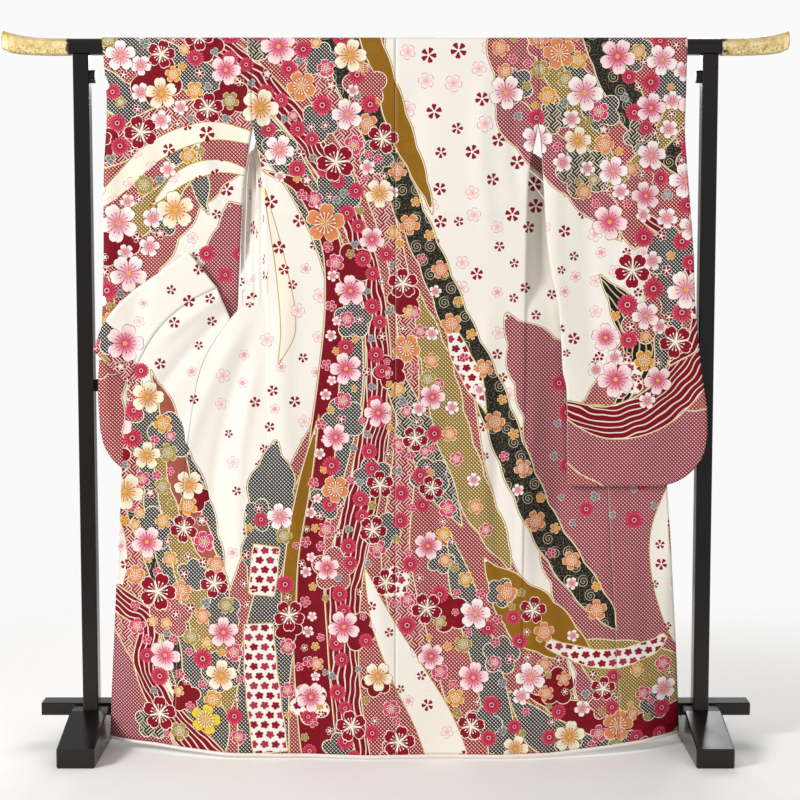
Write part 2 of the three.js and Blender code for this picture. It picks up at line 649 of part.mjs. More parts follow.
for (const [label, side] of [['left', -1], ['right', 1]]) {
  const foot = new THREE.ExtrudeGeometry(footOutline, {
    depth: footOuter - footInner - 6, bevelThickness: 3, bevelSize: 3, bevelOffset: -3, bevelSegments: 1,
  });
  foot.rotateX(Math.PI / 2).rotateZ(Math.PI / 2);
  foot.translate(Math.min(side * footInner, side * footOuter) + 3, 0, 0);
  add(`foot_${label}`, foot, lacquer);
  const postLow = footHeight + seat;
  add(`post_${label}`, bar(postWidth, postDepth, rodLow - seat - postLow, side * standHalf, 0, postLow), lacquer);
  const pegShape = new THREE.CylinderGeometry(peg.radius, peg.radius, peg.length, 16);
  pegShape.rotateZ(Math.PI / 2);
  pegShape.translate(side * (standHalf - postWidth / 2 - seat - peg.length / 2), 0, peg.z);
  add(`peg_${label}`, pegShape, lacquer);
}
add('mid_rail', alongX(2 * (standHalf - postWidth / 2 - seat), midRail.low, midRail.high, midRail.front, midRail.back),
  lacquer);
add('tie_rail', alongX(2 * tie.half, tie.low, tie.high, tie.front, tie.back), lacquer);
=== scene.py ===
from math import cos, pi, radians, sin

import bpy
import numpy as np
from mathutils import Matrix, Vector


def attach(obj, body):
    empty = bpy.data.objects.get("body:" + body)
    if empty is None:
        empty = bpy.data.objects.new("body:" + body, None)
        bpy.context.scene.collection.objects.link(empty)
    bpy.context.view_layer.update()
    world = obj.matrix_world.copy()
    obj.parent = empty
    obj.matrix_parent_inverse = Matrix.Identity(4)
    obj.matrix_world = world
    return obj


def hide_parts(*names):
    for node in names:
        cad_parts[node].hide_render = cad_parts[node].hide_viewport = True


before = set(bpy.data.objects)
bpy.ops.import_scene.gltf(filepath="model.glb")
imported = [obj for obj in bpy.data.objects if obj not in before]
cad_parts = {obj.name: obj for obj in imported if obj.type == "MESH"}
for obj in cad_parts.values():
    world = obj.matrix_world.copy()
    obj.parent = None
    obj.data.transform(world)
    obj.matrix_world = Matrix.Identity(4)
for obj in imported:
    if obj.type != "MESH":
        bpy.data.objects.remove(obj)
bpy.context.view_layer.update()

mm = 0.001
print("frame loaded")


# small helpers

def ease(t):
    t = np.clip(t, 0.0, 1.0)
    return t * t * (3.0 - 2.0 * t)


def mix(a, b, t):
    return a + (b - a) * t


def track(pairs):  # smooth curve through (key, value) pairs
    points = np.array(sorted(pairs), float)
    key, value = points[:, 0], points[:, 1]
    before, after = np.r_[0, np.arange(len(key) - 1)], np.r_[np.arange(1, len(key)), len(key) - 1]
    slope = (value[after] - value[before]) / (key[after] - key[before])

    def read(at):
        at = np.clip(np.asarray(at, float), key[0], key[-1])
        i = np.clip(np.searchsorted(key, at, side="left") - 1, 0, len(key) - 2)
        span = key[i + 1] - key[i]
        t = (at - key[i]) / span
        return ((2 * t ** 3 - 3 * t ** 2 + 1) * value[i] + (t ** 3 - 2 * t ** 2 + t) * slope[i] * span
                + (3 * t ** 2 - 2 * t ** 3) * value[i + 1] + (t ** 3 - t ** 2) * slope[i + 1] * span)
    return read


def tint(code):  # sRGB hex to linear colour
    channels = [int(code[i:i + 2], 16) / 255 for i in (1, 3, 5)]
    return tuple(c / 12.92 if c <= 0.04045 else ((c + 0.055) / 1.055) ** 2.4 for c in channels) + (1.0,)


def point(x, y, z):
    return np.stack(np.broadcast_arrays(x, y, z), axis=-1).astype(float)


def columns(table):  # each later column as a smooth curve over the first one
    return [track([(row[0], row[k]) for row in table]) for k in range(1, len(table[0]))]


def placed(name, data):
    obj = bpy.data.objects.new(name, data)
    bpy.context.scene.collection.objects.link(obj)
    return obj


# form of the hanging cloth, in millimetres

form = {
    "rodLift": 16.3, "foldArc": 14.0, "shoulder": 1627.3, "hem": 13.0, "backSwing": 117.0,
    "lap": 6.0, "neckHalf": 90.0, "sewnArmhole": 1420.0, "rollRadius": 19.0, "seam": 0.5,
    "layerGap": 2.3, "shell": 1.5, "collarShell": 2.2, "cell": 6.5,
    "creaseGain": 1.7, "creaseTop": 1612.0, "frontStrip": 232.0, "crestPrint": 24.0,
    "centreGap": 0.15,
}
rollHalf = pi * form["rollRadius"] / 2

backEdge = track([(1660, 326), (1450, 325), (1337, 305), (1200, 300), (820, 296), (400, 291), (0, 287)])

bodyFolds = [  # place across, height reached, depth, width
    (-560, 620, 7, 46), (-385, 480, -6, 55), (-205, 560, 6, 60), (-60, 380, -4, 50),
    (95, 460, 5, 58), (240, 620, -6, 48), (410, 420, 6, 50), (575, 520, -7, 52),
]

creases = [  # from x, z to x, z, width, depth: soft troughs and ridges
    (-318, 1560, -300, 1180, 16, -2.2), (-262, 1590, -285, 1240, 22, 2.4), (-120, 1600, -160, 1100, 30, -1.8),
    (60, 1600, 45, 1050, 34, 2.0), (210, 1600, 228, 1120, 22, -2.2), (292, 1600, 285, 1250, 14, 2.2),
    (-240, 1150, -205, 420, 26, -3.4), (-150, 900, -165, 60, 30, 3.2), (-20, 1000, 8, 30, 26, -3.2),
    (130, 900, 150, 20, 32, 3.4), (225, 1100, 262, 240, 22, -3.2), (262, 980, 290, 60, 16, 3.0),
    (-330, 1085, -560, 930, 16, -3.2), (-345, 1050, -590, 760, 18, 3.6), (-330, 1020, -520, 560, 20, -3.4),
    (-320, 990, -430, 420, 18, 3.4), (-312, 930, -352, 330, 15, -3.0), (-560, 900, -640, 300, 24, -3.0),
    (-470, 640, -520, 20, 26, 3.2), (-612, 560, -640, 30, 18, 2.6), (-400, 520, -410, 20, 22, -3.0),
    (330, 880, 345, 60, 18, -3.2), (402, 780, 430, 40, 26, 3.0), (500, 640, 520, 30, 24, -3.0),
    (596, 560, 618, 60, 22, 2.8), (646, 600, 660, 120, 14, -2.4), (-610, 1590, -628, 900, 20, -2.6),
    (-520, 1600, -500, 1100, 26, 2.4), (-420, 1590, -405, 1180, 20, -2.6), (-560, 1180, -600, 700, 20, 2.8),
    (-640, 1100, -652, 700, 14, -2.6), (395, 1590, 410, 820, 20, -2.8), (470, 1600, 500, 700, 26, 2.8),
    (560, 1590, 590, 760, 22, -3.0), (630, 1560, 668, 760, 18, 2.6), (-300, 1262, -60, 1242, 14, -1.2),
    (40, 1250, 290, 1264, 14, -1.2), (-280, 640, 270, 655, 20, -1.6),
]


def foldDepth(x, z):
    return sum(depth * ease(1 - z / reach) * np.exp(-((x - at) / width) ** 2)
               for at, reach, depth, width in bodyFolds)


def creaseDepth(x, z):
    total = np.zeros(np.broadcast(x, z).shape)
    for x1, z1, x2, z2, width, depth in creases:
        length = np.hypot(x2 - x1, z2 - z1)
        along = ((x - x1) * (x2 - x1) + (z - z1) * (z2 - z1)) / length
        across = ((x - x1) * (z2 - z1) - (z - z1) * (x2 - x1)) / length
        # each crease bows a little and fades out at its ends
        bow = 0.05 * length * np.sin(pi * np.clip(along / length, 0, 1))
        fade = ease(along / (0.3 * length) + 0.15) * ease((length - along) / (0.35 * length) + 0.1)
        total += form["creaseGain"] * depth * fade * np.exp(-((across - bow) / width) ** 2)
    return total * ease((form["creaseTop"] - z) / 90)


def backY(x, z):
    drop = np.clip((form["shoulder"] - z) / form["shoulder"], 0, 1)
    return -form["rodLift"] - form["backSwing"] * drop ** 1.9 * (1 - 0.06 * (x / 285) ** 2) + foldDepth(x, z)


def overRod(t, lift=form["rodLift"], arc=form["foldArc"]):
    return -lift * np.cos(pi * t), form["shoulder"] + arc * np.sin(pi * t)


def frontEdge(side, z):
    x = backEdge(z) - form["lap"] * ease((form["sewnArmhole"] - z) / 60)
    return x, backY(side * x, z) + form["layerGap"]


rightFront = {
    "edgeY": track([(1660, 16.3), (1600, 16.3), (1420, 9), (1290, -14), (1200, -24)]),
    "fold": track([(1660, 345), (1520, 310), (1440, 205), (1350, 128), (1200, 66), (1050, -6),
                   (975, -rollHalf - 4), (0, -rollHalf - 4)]),
    "out": track([(1660, 4), (1300, 4), (980, -15), (850, -16), (620, -27), (300, -18), (0, 12)]),
    "strip": track([(1660, 238), (1200, 232), (1000, 205), (850, 192), (580, 206), (200, 228), (0, 240)]),
    "overlap": track([(1410, 1), (1200, 52), (1000, 100), (850, 127), (580, 137), (200, 146), (0, 148)]),
    "band": track([(1660, 50), (1300, 66), (1060, 86), (935, 82), (858, 5)]),
}


def rightRow(z, distances):
    edgeX, edgeY = frontEdge(1, z)
    startY = mix(edgeY, rightFront["edgeY"](z), ease((z - 1190) / 120))
    fold, lift = rightFront["fold"](z), rightFront["out"](z) - startY
    length = rightFront["strip"](z) + rightFront["overlap"](z)
    hold = ease((z - 350) / 260)  # 0 at the hem, where the strip swings out freely
    pace = 2.0  # the strip is walked along from the edge, and turns back round its roll
    walk = np.arange(0.0, max(distances[-1], pace) + 2 * pace, pace)
    turn = pi * ease((walk[:-1] + pace / 2 - fold + rollHalf) / (2 * rollHalf))
    x = np.interp(distances, walk, edgeX - pace * np.r_[0, np.cumsum(np.cos(turn))])
    y = np.interp(distances, walk, startY + pace * np.r_[0, np.cumsum(np.sin(turn))])
    q = np.clip(np.asarray(distances) / length, 0, 1)
    rise = ease((1120 - z) / 140) * lift * mix(q * q, ease(np.asarray(distances) / 92), hold)
    return point(x, y + rise + foldDepth(x, z) * (1 - hold), z)


hemLift = track([(-690, 11), (-500, 6), (-350, 0), (340, 0), (485, 8), (680, 18)])


def settle(grid):  # lift the front corners of the hem, then press in the creases
    x, z = grid[..., 0], grid[..., 2]
    settled = grid.copy()
    settled[..., 2] += hemLift(x) * ease(1 - z / 330)
    settled[..., 1] += creaseDepth(x, z)
    return settled


leftTable = [  # height: angle, width, pleat, startY
    (1660, 0, 236, 0, 16.3), (1600, 0, 232, 0, 16.3), (1510, 10, 184, 4, 13), (1430, 62, 88, 7, 8),
    (1375, 122, 56, 5, 0), (1320, 146, 52, 4, -10), (1200, 151, 58, 3, -20), (1120, 163, 54, 2, -28),
    (1055, 178, 50, 1, -34), (1030, 180, 62, 0, -36), (1000, 180, 90, 0, -38), (905, 180, 149, 0, -43),
    (800, 180, 176, 0, -50), (588, 180, 203, 0, -65), (300, 180, 218, 0, -92), (0, 180, 230, 0, -126),
]
leftAngle, leftWidth, leftPleat, leftStartY = columns(leftTable)
leftOut = track([(1200, -34), (1000, -34), (850, -34), (620, -33), (300, -26), (0, -9)])
leftReach = track([(1200, 300), (851, 318), (669, 334), (440, 349), (186, 377), (0, 400)])


def leftY(x, z):
    edgeX, edgeY = frontEdge(-1, z)
    q = np.clip((-x - edgeX) / leftReach(z), 0, 1)
    curve = mix(q * q, ease(2.2 * q), ease((z - 300) / 500))
    return mix(edgeY, leftOut(z), curve) + foldDepth(x, z) * ease((620 - z) / 300)


def leftRow(z, count):
    edgeX, _ = frontEdge(-1, z)
    edgeY = mix(leftY(-edgeX, z), leftStartY(z), ease((z - 1000) / 120))
    angle, t = np.radians(leftAngle(z)), np.linspace(0, 1, count + 1)
    s = leftWidth(z) * t
    x, opened = edgeX - np.cos(angle) * s, ease((1040 - z) / 60)
    wave = leftPleat(z) * np.sin(6 * pi * t) * np.sin(pi * np.minimum(1, t * 1.02))
    turned = edgeY + np.sin(angle) * s + np.cos(angle) * wave
    row = point(-x - np.sin(angle) * wave * (1 - opened), mix(turned, leftY(-x, z), opened), z)
    spread = t * mix(form["frontStrip"], leftWidth(z), ease((1200 - z) / 150))
    # the gathered stretch is white with scattered blossoms, laid out apart from the rest
    apart = -2700 if 1045 < z < 1440 else 0
    return row, np.stack([apart - (edgeX - np.cos(angle) * spread), np.full(count + 1, z)], axis=-1)


def steps(start, end, size=form["cell"]):
    return np.linspace(start, end, max(2, int(round(abs(end - start) / size)) + 1))


def tuckedUnder(grid, radius=2.7, reach=24):  # first row rolls round and runs back underneath
    turn = np.radians(np.linspace(90, -90, 7))
    profile = [(reach, 2 * radius), (reach / 2, 2 * radius)]
    profile += [(radius - radius * cos(a), radius + radius * sin(a)) for a in turn]
    into = grid[1] - grid[0]
    into[:, 2] = 0
    into /= np.linalg.norm(into, axis=1, keepdims=True)
    rolled = [grid[0] + into * along + np.array([0, behind, 0]) for along, behind in profile]
    return np.concatenate([np.array(rolled), grid[1:]])


def seen(grid):  # where a point of the cloth lies in the printed design
    return grid[..., [0, 2]].copy()


# printed design: bands of ground and flowers laid out across the whole garment

fills = {  # ground, marks, share of dots, scrolls, stream lines and fret
    "cream": ("#F1EADF", "#E6DCCB", (0, 0, 0, 0)),
    "petalled": ("#F3EAD6", "#E9C98C", (0, 0, 0, 0)),
    "crimsonDots": ("#8A0418", "#EBC6BC", (1, 0, 0, 0)),
    "roseDots": ("#84102A", "#E6C0C0", (1, 0, 0, 0)),
    "blackDots": ("#0C0A0D", "#D6CFC5", (1, 0, 0, 0)),
    "mustard": ("#8E6212", "#B0852D", (0, 0.3, 0, 0)),
    "scroll": ("#16130F", "#B9AE90", (0, 1, 0, 0)),
    "stream": ("#7C0618", "#EBD9C9", (0, 0, 1, 0)),
    "goldDots": ("#7E5C12", "#E8D8A4", (1, 0, 0, 0)),
    "crimson": ("#7A0618", "#9A1E32", (0, 0.5, 0, 0)),
    "crimsonFret": ("#880618", "#E6C2B6", (0, 0, 0, 1)),
    "peach": ("#9C5040", "#B4705A", (0, 0.6, 0, 0)),
    "blackStream": ("#1B1718", "#CDBB8C", (0, 0, 1, 0)),
    "blackFret": ("#100E12", "#CFC3AA", (0, 0, 0, 1)),
    "blossomed": ("#F2EBE1", "#F2EBE1", (0, 0, 0, 0)),
}
fillNumber = {name: i for i, name in enumerate(fills)}

# cloth it lies on, layer, fill, depth of the lobes along its edge, then x, z and half width along its middle
bands = [
    ("both", 0, "crimsonDots", 0, [(-230, 1720, 210), (-205, 1560, 190), (-130, 1400, 155), (-64, 1240, 124),
        (-14, 1060, 124), (20, 860, 156), (-10, 640, 236), (-36, 420, 330), (-30, 200, 430),
        (-30, -60, 460)]),
    ("both", 0, "crimsonDots", 9, [(330, 1720, 130), (350, 1560, 128), (420, 1430, 104), (500, 1320, 84),
        (590, 1200, 60)]),
    ("body", 0, "roseDots", 9, [(255, 1010, 8), (310, 930, 66), (385, 820, 110), (450, 690, 160),
        (500, 520, 180), (560, 300, 170), (600, -40, 160)]),
    ("body", 0, "crimsonFret", 8, [(-700, 1010, 30), (-640, 850, 60), (-610, 640, 70), (-620, 420, 80),
        (-640, 200, 80)]),
    ("body", 1, "blackDots", 6, [(-600, 830, 30), (-520, 640, 70), (-480, 430, 90), (-450, 200, 80),
        (-440, 60, 60), (-440, -60, 48)]),
    ("body", 1, "scroll", 5, [(-150, 1720, 52), (-92, 1560, 52), (-42, 1420, 46), (22, 1270, 36),
        (88, 1120, 34), (146, 980, 36), (212, 840, 38), (280, 660, 38), (345, 520, 38), (410, 420, 38),
        (480, 330, 26), (512, 286, 3)]),
    ("both", 1, "blackDots", 0, [(-700, 1660, 36), (-520, 1590, 42), (-380, 1500, 42), (-262, 1380, 38),
        (-180, 1240, 34), (-126, 1080, 34), (-112, 860, 40), (-170, 640, 52), (-250, 420, 60),
        (-300, 200, 62), (-300, -60, 60)]),
    ("both", 1, "roseDots", 7, [(236, 1540, 4), (262, 1470, 40), (330, 1400, 50), (410, 1320, 46),
        (480, 1240, 34), (512, 1180, 4)]),
    ("both", 1, "blackDots", 6, [(330, 1720, 30), (372, 1600, 36), (440, 1520, 26), (480, 1480, 4)]),
    ("body", 1, "roseDots", 0, [(-760, 330, 70), (-710, 200, 90), (-650, 60, 110), (-610, -60, 120)]),
    ("body", 2, "mustard", 4, [(-84, 1720, 24), (-30, 1560, 27), (16, 1420, 27), (62, 1310, 16),
        (86, 1240, 2)]),
    ("body", 2, "goldDots", 5, [(10, 1120, 4), (52, 1020, 26), (96, 890, 38), (132, 740, 42), (180, 600, 42),
        (236, 490, 28), (262, 430, 4)]),
    ("body", 2, "goldDots", 6, [(-560, 760, 4), (-520, 640, 36), (-480, 480, 46), (-440, 340, 50),
        (-400, 200, 44), (-380, 100, 6)]),
    ("body", 2, "goldDots", 5, [(384, 262, 6), (500, 205, 66), (600, 140, 96), (690, 60, 120),
        (720, -40, 120)]),
    ("both", 2, "goldDots", 5, [(300, 1720, 28), (340, 1600, 26), (400, 1500, 28), (460, 1400, 24),
        (520, 1300, 4)]),
    ("body", 2, "blackDots", 9, [(-275, 720, 8), (-282, 640, 52), (-290, 540, 56), (-304, 440, 50),
        (-330, 380, 6)]),
    ("both", 2, "stream", 0, [(-600, 1740, 30), (-460, 1660, 34), (-330, 1560, 34), (-206, 1420, 31),
        (-108, 1250, 28), (-54, 1070, 28), (-40, 840, 34), (-70, 620, 40), (-120, 400, 46), (-130, 180, 50),
        (-96, -60, 52)]),
    ("body", 3, "mustard", 7, [(206, 452, 4), (250, 392, 42), (316, 316, 66), (396, 262, 44), (452, 232, 4)]),
    ("both", 3, "crimsonFret", 0, [(-400, 1740, 30), (-280, 1640, 34), (-180, 1530, 34), (-92, 1390, 30),
        (-24, 1230, 26), (16, 1060, 24), (30, 860, 26), (16, 640, 30), (0, 460, 36), (40, 260, 40),
        (90, 80, 40), (120, -60, 40)]),
    ("body", 3, "crimson", 0, [(-300, 1340, 4), (-215, 1300, 18), (-150, 1180, 24), (-140, 1040, 24),
        (-150, 900, 26), (-170, 700, 34), (-200, 480, 38), (-196, 270, 42), (-180, 60, 44), (-160, -60, 44)]),
    ("body", 3, "peach", 5, [(-560, 880, 3), (-520, 780, 22), (-500, 640, 28), (-440, 480, 24),
        (-400, 420, 6)]),
    ("body", 3, "cream", 0, [(-720, 640, 24), (-676, 520, 44), (-656, 430, 36), (-640, 370, 4)]),
    ("body", 3, "blossomed", 2, [(-296, 478, 33), (-302, 430, 34), (-307, 372, 32)]),
    ("body", 3, "blossomed", 2, [(-314, 300, 36), (-309, 200, 40), (-298, 100, 42), (-286, 16, 42)]),
    ("body", 3, "stream", 0, [(-760, 420, 24), (-650, 352, 32), (-574, 296, 28), (-584, 200, 28),
        (-530, 90, 34), (-430, 0, 38), (-370, -60, 38)]),
    ("body", 3, "blackDots", 5, [(262, 150, 6), (330, 66, 44), (430, 8, 56), (540, -40, 50)]),
    ("body", 4, "petalled", 0, [(-300, 1300, 3), (-262, 1120, 14), (-246, 980, 18), (-268, 900, 3)]),
    ("body", 4, "cream", 0, [(-70, 430, 4), (-30, 310, 26), (30, 190, 40), (90, 80, 46), (140, -60, 50)]),
    ("body", 4, "cream", 0, [(640, 640, 4), (612, 510, 22), (622, 400, 28), (650, 290, 22), (668, 220, 4)]),
    ("body", 4, "mustard", 0, [(-176, 780, 3), (-206, 640, 16), (-238, 460, 18), (-246, 300, 18),
        (-236, 236, 3)]),
    ("body", 4, "scroll", 3, [(-640, 610, 4), (-604, 540, 15), (-564, 440, 17), (-534, 330, 19),
        (-508, 210, 19), (-492, 110, 4)]),
    ("body", 4, "blackFret", 0, [(-34, 910, 4), (4, 850, 28), (58, 720, 34), (108, 610, 34), (152, 530, 4)]),
    ("body", 4, "blackDots", 0, [(120, 520, 4), (150, 400, 30), (206, 220, 34), (240, 60, 36),
        (252, -60, 36)]),
    ("body", 4, "crimson", 5, [(296, 152, 4), (390, 108, 28), (480, 66, 36), (600, 36, 42), (680, 70, 30),
        (706, 124, 4)]),
    ("body", 4, "blossomed", 3, [(352, 260, 13), (420, 232, 21), (500, 218, 25), (590, 236, 21),
        (626, 262, 12)]),
    ("body", 4, "blossomed", 3, [(120, 1010, 3), (140, 940, 22), (178, 860, 24), (206, 790, 3)]),
    ("sleeve", 0, "crimsonDots", 10, [(-520, 1720, 260), (-510, 1500, 236), (-575, 1310, 150),
        (-640, 1100, 90), (-680, 900, 60), (-680, 600, 60)]),
    ("sleeve", 0, "crimsonDots", 8, [(600, 1720, 140), (620, 1500, 110), (650, 1300, 90), (660, 1050, 90),
        (600, 860, 120), (560, 700, 190), (550, 600, 190)]),
    ("sleeve", 1, "roseDots", 6, [(-360, 1260, 26), (-385, 1150, 52), (-400, 1040, 62), (-400, 900, 60),
        (-440, 720, 40)]),
    ("sleeve", 1, "blackDots", 7, [(-720, 1580, 20), (-620, 1500, 44), (-520, 1420, 44), (-452, 1320, 26),
        (-430, 1240, 4)]),
    ("sleeve", 1, "scroll", 4, [(440, 1720, 40), (490, 1570, 40), (565, 1440, 38), (655, 1360, 32),
        (750, 1320, 26)]),
    ("sleeve", 1, "roseDots", 4, [(360, 760, 50), (470, 720, 90), (580, 690, 100), (740, 700, 100)]),
    ("sleeve", 1, "blackDots", 7, [(654, 1200, 4), (640, 1100, 40), (610, 980, 46), (600, 900, 30),
        (596, 874, 4)]),
    ("sleeve", 2, "crimsonFret", 0, [(-310, 1440, 26), (-420, 1470, 34), (-540, 1450, 36), (-640, 1390, 38),
        (-760, 1370, 40)]),
    ("sleeve", 2, "goldDots", 5, [(-760, 1180, 30), (-650, 1200, 40), (-560, 1250, 36), (-480, 1340, 24),
        (-450, 1400, 6)]),
    ("sleeve", 2, "blackStream", 4, [(470, 1100, 4), (520, 1030, 32), (560, 930, 38), (530, 840, 20),
        (500, 790, 3)]),
    ("sleeve", 2, "goldDots", 5, [(700, 1720, 30), (690, 1560, 34), (620, 1440, 28), (540, 1340, 20),
        (470, 1300, 4)]),
    ("sleeve", 3, "petalled", 0, [(-310, 1410, 14), (-420, 1430, 22), (-540, 1390, 24), (-640, 1300, 20),
        (-700, 1240, 4)]),
    ("sleeve", 3, "stream", 0, [(380, 800, 20), (490, 765, 40), (600, 800, 50), (690, 900, 52),
        (760, 1010, 50)]),
    ("sleeve", 3, "peach", 3, [(-700, 1120, 40), (-680, 1000, 40), (-700, 880, 30)]),
    ("sleeve", 4, "stream", 0, [(560, 1240, 12), (640, 1180, 22), (700, 1080, 26), (690, 960, 22),
        (630, 900, 8)]),
    ("sleeve", 4, "cream", 0, [(-320, 1330, 6), (-400, 1350, 16), (-480, 1330, 18), (-560, 1260, 4)]),
]
bandLayers, sampleStep = 5, 6.0


def smoothLine(points, size=sampleStep):  # even samples along a smooth line through the points
    table = np.array(points, float)
    chord = np.r_[0, np.cumsum(np.hypot(*np.diff(table[:, :2], axis=0).T))]
    fine = np.arange(0, chord[-1], size)
    x, z, half = [track(zip(chord, table[:, k]))(fine) for k in range(3)]
    dx, dz = np.gradient(x), np.gradient(z)
    pace = np.hypot(dx, dz)
    return {"at": np.stack([x, z], 1), "half": half, "ahead": np.stack([dx / pace, dz / pace], 1),
            "along": np.r_[0, np.cumsum(np.hypot(np.diff(x), np.diff(z)))]}


bandLines = [(cloth, layer, fill, lobes, smoothLine(points)) for cloth, layer, fill, lobes, points in bands]


def paintBands(cloth, corners, centres):  # for each layer: along, across, distance inside the edge, fill
    outside, margin, chunk, lobeRun, endReach = -50.0, 30, 4000, 26, 8
    painted = np.zeros((bandLayers, len(centres), 4, 4), np.float32)
    painted[..., 2] = outside
    best = np.full((bandLayers, len(centres)), outside - 10)
    for owner, layer, fill, lobes, line in bandLines:
        if owner not in (cloth, "both"):
            continue
        reach = line["half"].max() + margin
        low, high = line["at"].min(0) - reach, line["at"].max(0) + reach
        near = np.nonzero(np.all((centres > low) & (centres < high), axis=1))[0]
        for part in np.array_split(near, max(1, len(near) // chunk + 1)):
            if not len(part):
                continue
            away = centres[part, None, :] - line["at"][None, :, :]
            nearest = np.argmin((away ** 2).sum(2) - line["half"][None, :] ** 2 * 0.05, axis=1)
            ahead, at = line["ahead"][nearest][:, None, :], line["at"][nearest][:, None, :]
            offset = corners[part] - at
            forward = (offset * ahead).sum(2)
            across = offset[..., 0] * ahead[..., 1] - offset[..., 1] * ahead[..., 0]
            along = line["along"][nearest][:, None] + forward
            widening = np.gradient(line["half"])[nearest][:, None]
            half = line["half"][nearest][:, None] + widening * forward / sampleStep
            inside = half - np.abs(across) + lobes * (np.abs(np.sin(along / lobeRun + np.sign(across))) - 0.6)
            last = (nearest == 0) | (nearest == len(line["at"]) - 1)  # the ends are cut flat
            inside = np.where(last[:, None], np.minimum(inside, endReach - np.abs(forward)), inside)
            score = inside.mean(1)
            take = score > best[layer, part]
            chosen = part[take]
            best[layer, chosen] = score[take]
            number = np.full(along[take].shape, fillNumber[fill])
            painted[layer, chosen] = np.stack([along[take], across[take], inside[take], number], axis=-1)
    return painted


petals = {  # petal tip, petal base, outline
    "white": ("#F6EEE8", "#E996A6", "#7A2236"), "pink": ("#F7DEDD", "#DC5A7E", "#7E1C38"),
    "rose": ("#D8406A", "#A5123C", "#FBE6E4"), "crimson": ("#8E0A22", "#7C081C", "#FBF1E4"),
    "peach": ("#D98A58", "#BE5F34", "#F5DFB6"), "yellow": ("#F3ECD2", "#E2A45C", "#6E3E30"),
    "daisy": ("#D84862", "#AE1A38", "#720A1E"), "gold": ("#DE9C34", "#BC741A", "#FBEBC0"),
    "speck": ("#8E0C24", "#8E0C24", "#8E0C24"), "outlined": ("#FAEDE8", "#EDAAB2", "#C4607A"),
    "lace": ("#A8904A", "#7C6628", "#E6D8A4"), "leaf": ("#8C9090", "#5E6466", "#DADBD4"),
    "foil": ("#E6C84A", "#B4861A", "#6E4E14"),
}
petalNumber = {name: i for i, name in enumerate(petals)}

# flower masses: cloth, room between flowers, x, z and half width along the middle, shares of the kinds
masses = [
    ("both", 0.5, [(-240, 1720, 160), (-215, 1560, 145), (-140, 1400, 120), (-90, 1240, 90)],
     {"crimson": 8, "pink": 4, "white": 2, "daisy": 8, "rose": 3, "yellow": 5, "peach": 1, "gold": 1,
      "lace": 2, "leaf": 2}),
    ("both", 0.9, [(-70, 1180, 84), (-50, 1060, 84), (-20, 860, 100), (-30, 640, 130), (0, 420, 170),
        (30, 200, 220), (40, -20, 270)],
     {"crimson": 7, "pink": 4, "white": 1, "daisy": 7, "rose": 5, "yellow": 4, "peach": 1, "gold": 2,
      "lace": 2, "leaf": 2}),
    ("both", 0.5, [(300, 1710, 90), (325, 1570, 96), (390, 1450, 84), (480, 1330, 64), (540, 1240, 50)],
     {"peach": 7, "white": 4, "pink": 5, "yellow": 3, "crimson": 3, "daisy": 3, "gold": 2, "rose": 2,
      "lace": 2, "leaf": 1}),
    ("both", 0.4, [(-560, 1700, 130), (-480, 1560, 120), (-360, 1500, 90)],
     {"white": 4, "yellow": 6, "crimson": 4, "pink": 3, "daisy": 4, "gold": 1, "lace": 1, "leaf": 1}),
    ("body", 0.4, [(-660, 960, 40), (-600, 760, 70), (-540, 560, 90), (-500, 340, 110), (-440, 60, 130)],
     {"pink": 5, "yellow": 5, "white": 1, "crimson": 6, "gold": 2, "foil": 2, "daisy": 8, "rose": 3,
      "peach": 2, "lace": 3, "leaf": 1}),
    ("body", 0.9, [(-250, 560, 90), (-250, 300, 110), (-240, 40, 130)],
     {"white": 2, "pink": 3, "rose": 4, "yellow": 2, "crimson": 5, "daisy": 4, "lace": 1, "gold": 1}),
    ("body", 0.7, [(240, 380, 40), (330, 200, 90), (460, 120, 120), (640, 80, 110)],
     {"yellow": 2, "peach": 4, "white": 2, "daisy": 7, "crimson": 6, "pink": 3, "gold": 1, "rose": 2,
      "lace": 2, "leaf": 1}),
    ("body", 1.4, [(420, 860, 60), (470, 700, 110), (520, 520, 120)], {"daisy": 4, "leaf": 1}),
    ("sleeve", 0.5, [(-560, 1500, 150), (-600, 1320, 120), (-650, 1120, 60), (-680, 900, 40)],
     {"white": 4, "lace": 1, "leaf": 1, "yellow": 6, "crimson": 4, "pink": 3, "daisy": 4, "gold": 1}),
    ("sleeve", 1.0, [(-400, 1150, 50), (-410, 1000, 60)], {"daisy": 1}),
    ("sleeve", 0.45, [(590, 1700, 110), (620, 1480, 90), (640, 1280, 80), (620, 1100, 80), (560, 950, 80),
        (520, 840, 70)],
     {"pink": 6, "white": 4, "yellow": 2, "crimson": 4, "daisy": 3, "gold": 1, "leaf": 1}),
]
# sizes: layer, radius from and to, tries, clearance, kinds that it may have
flowerSizes = [
    ("small", 8, 12, 2400, 26, ("leaf", "rose", "gold", "lace", "crimson")),
    ("middle", 16, 22, 3000, 20, ("daisy", "rose", "gold", "peach", "lace", "white", "daisy")),
    ("large", 29, 40, 4800, 40, ("white", "pink", "crimson", "yellow", "peach", "foil")),
    ("patch", 34, 58, 900, 30, ("blackDots", "crimsonDots", "blackFret", "crimson", "blossomed")),
]
patchShares = {"blackDots": 5, "crimsonDots": 2, "blackFret": 1, "crimson": 2, "blossomed": 1}
overlaps = {"middle": {"large": 0.74}, "small": {"large": 0.9, "middle": 0.9}}  # how close they may come
layout = {"dense": 0.6, "denseGrowth": 1.15, "patchless": 0.95, "jitter": 20, "outlined": 0.42}
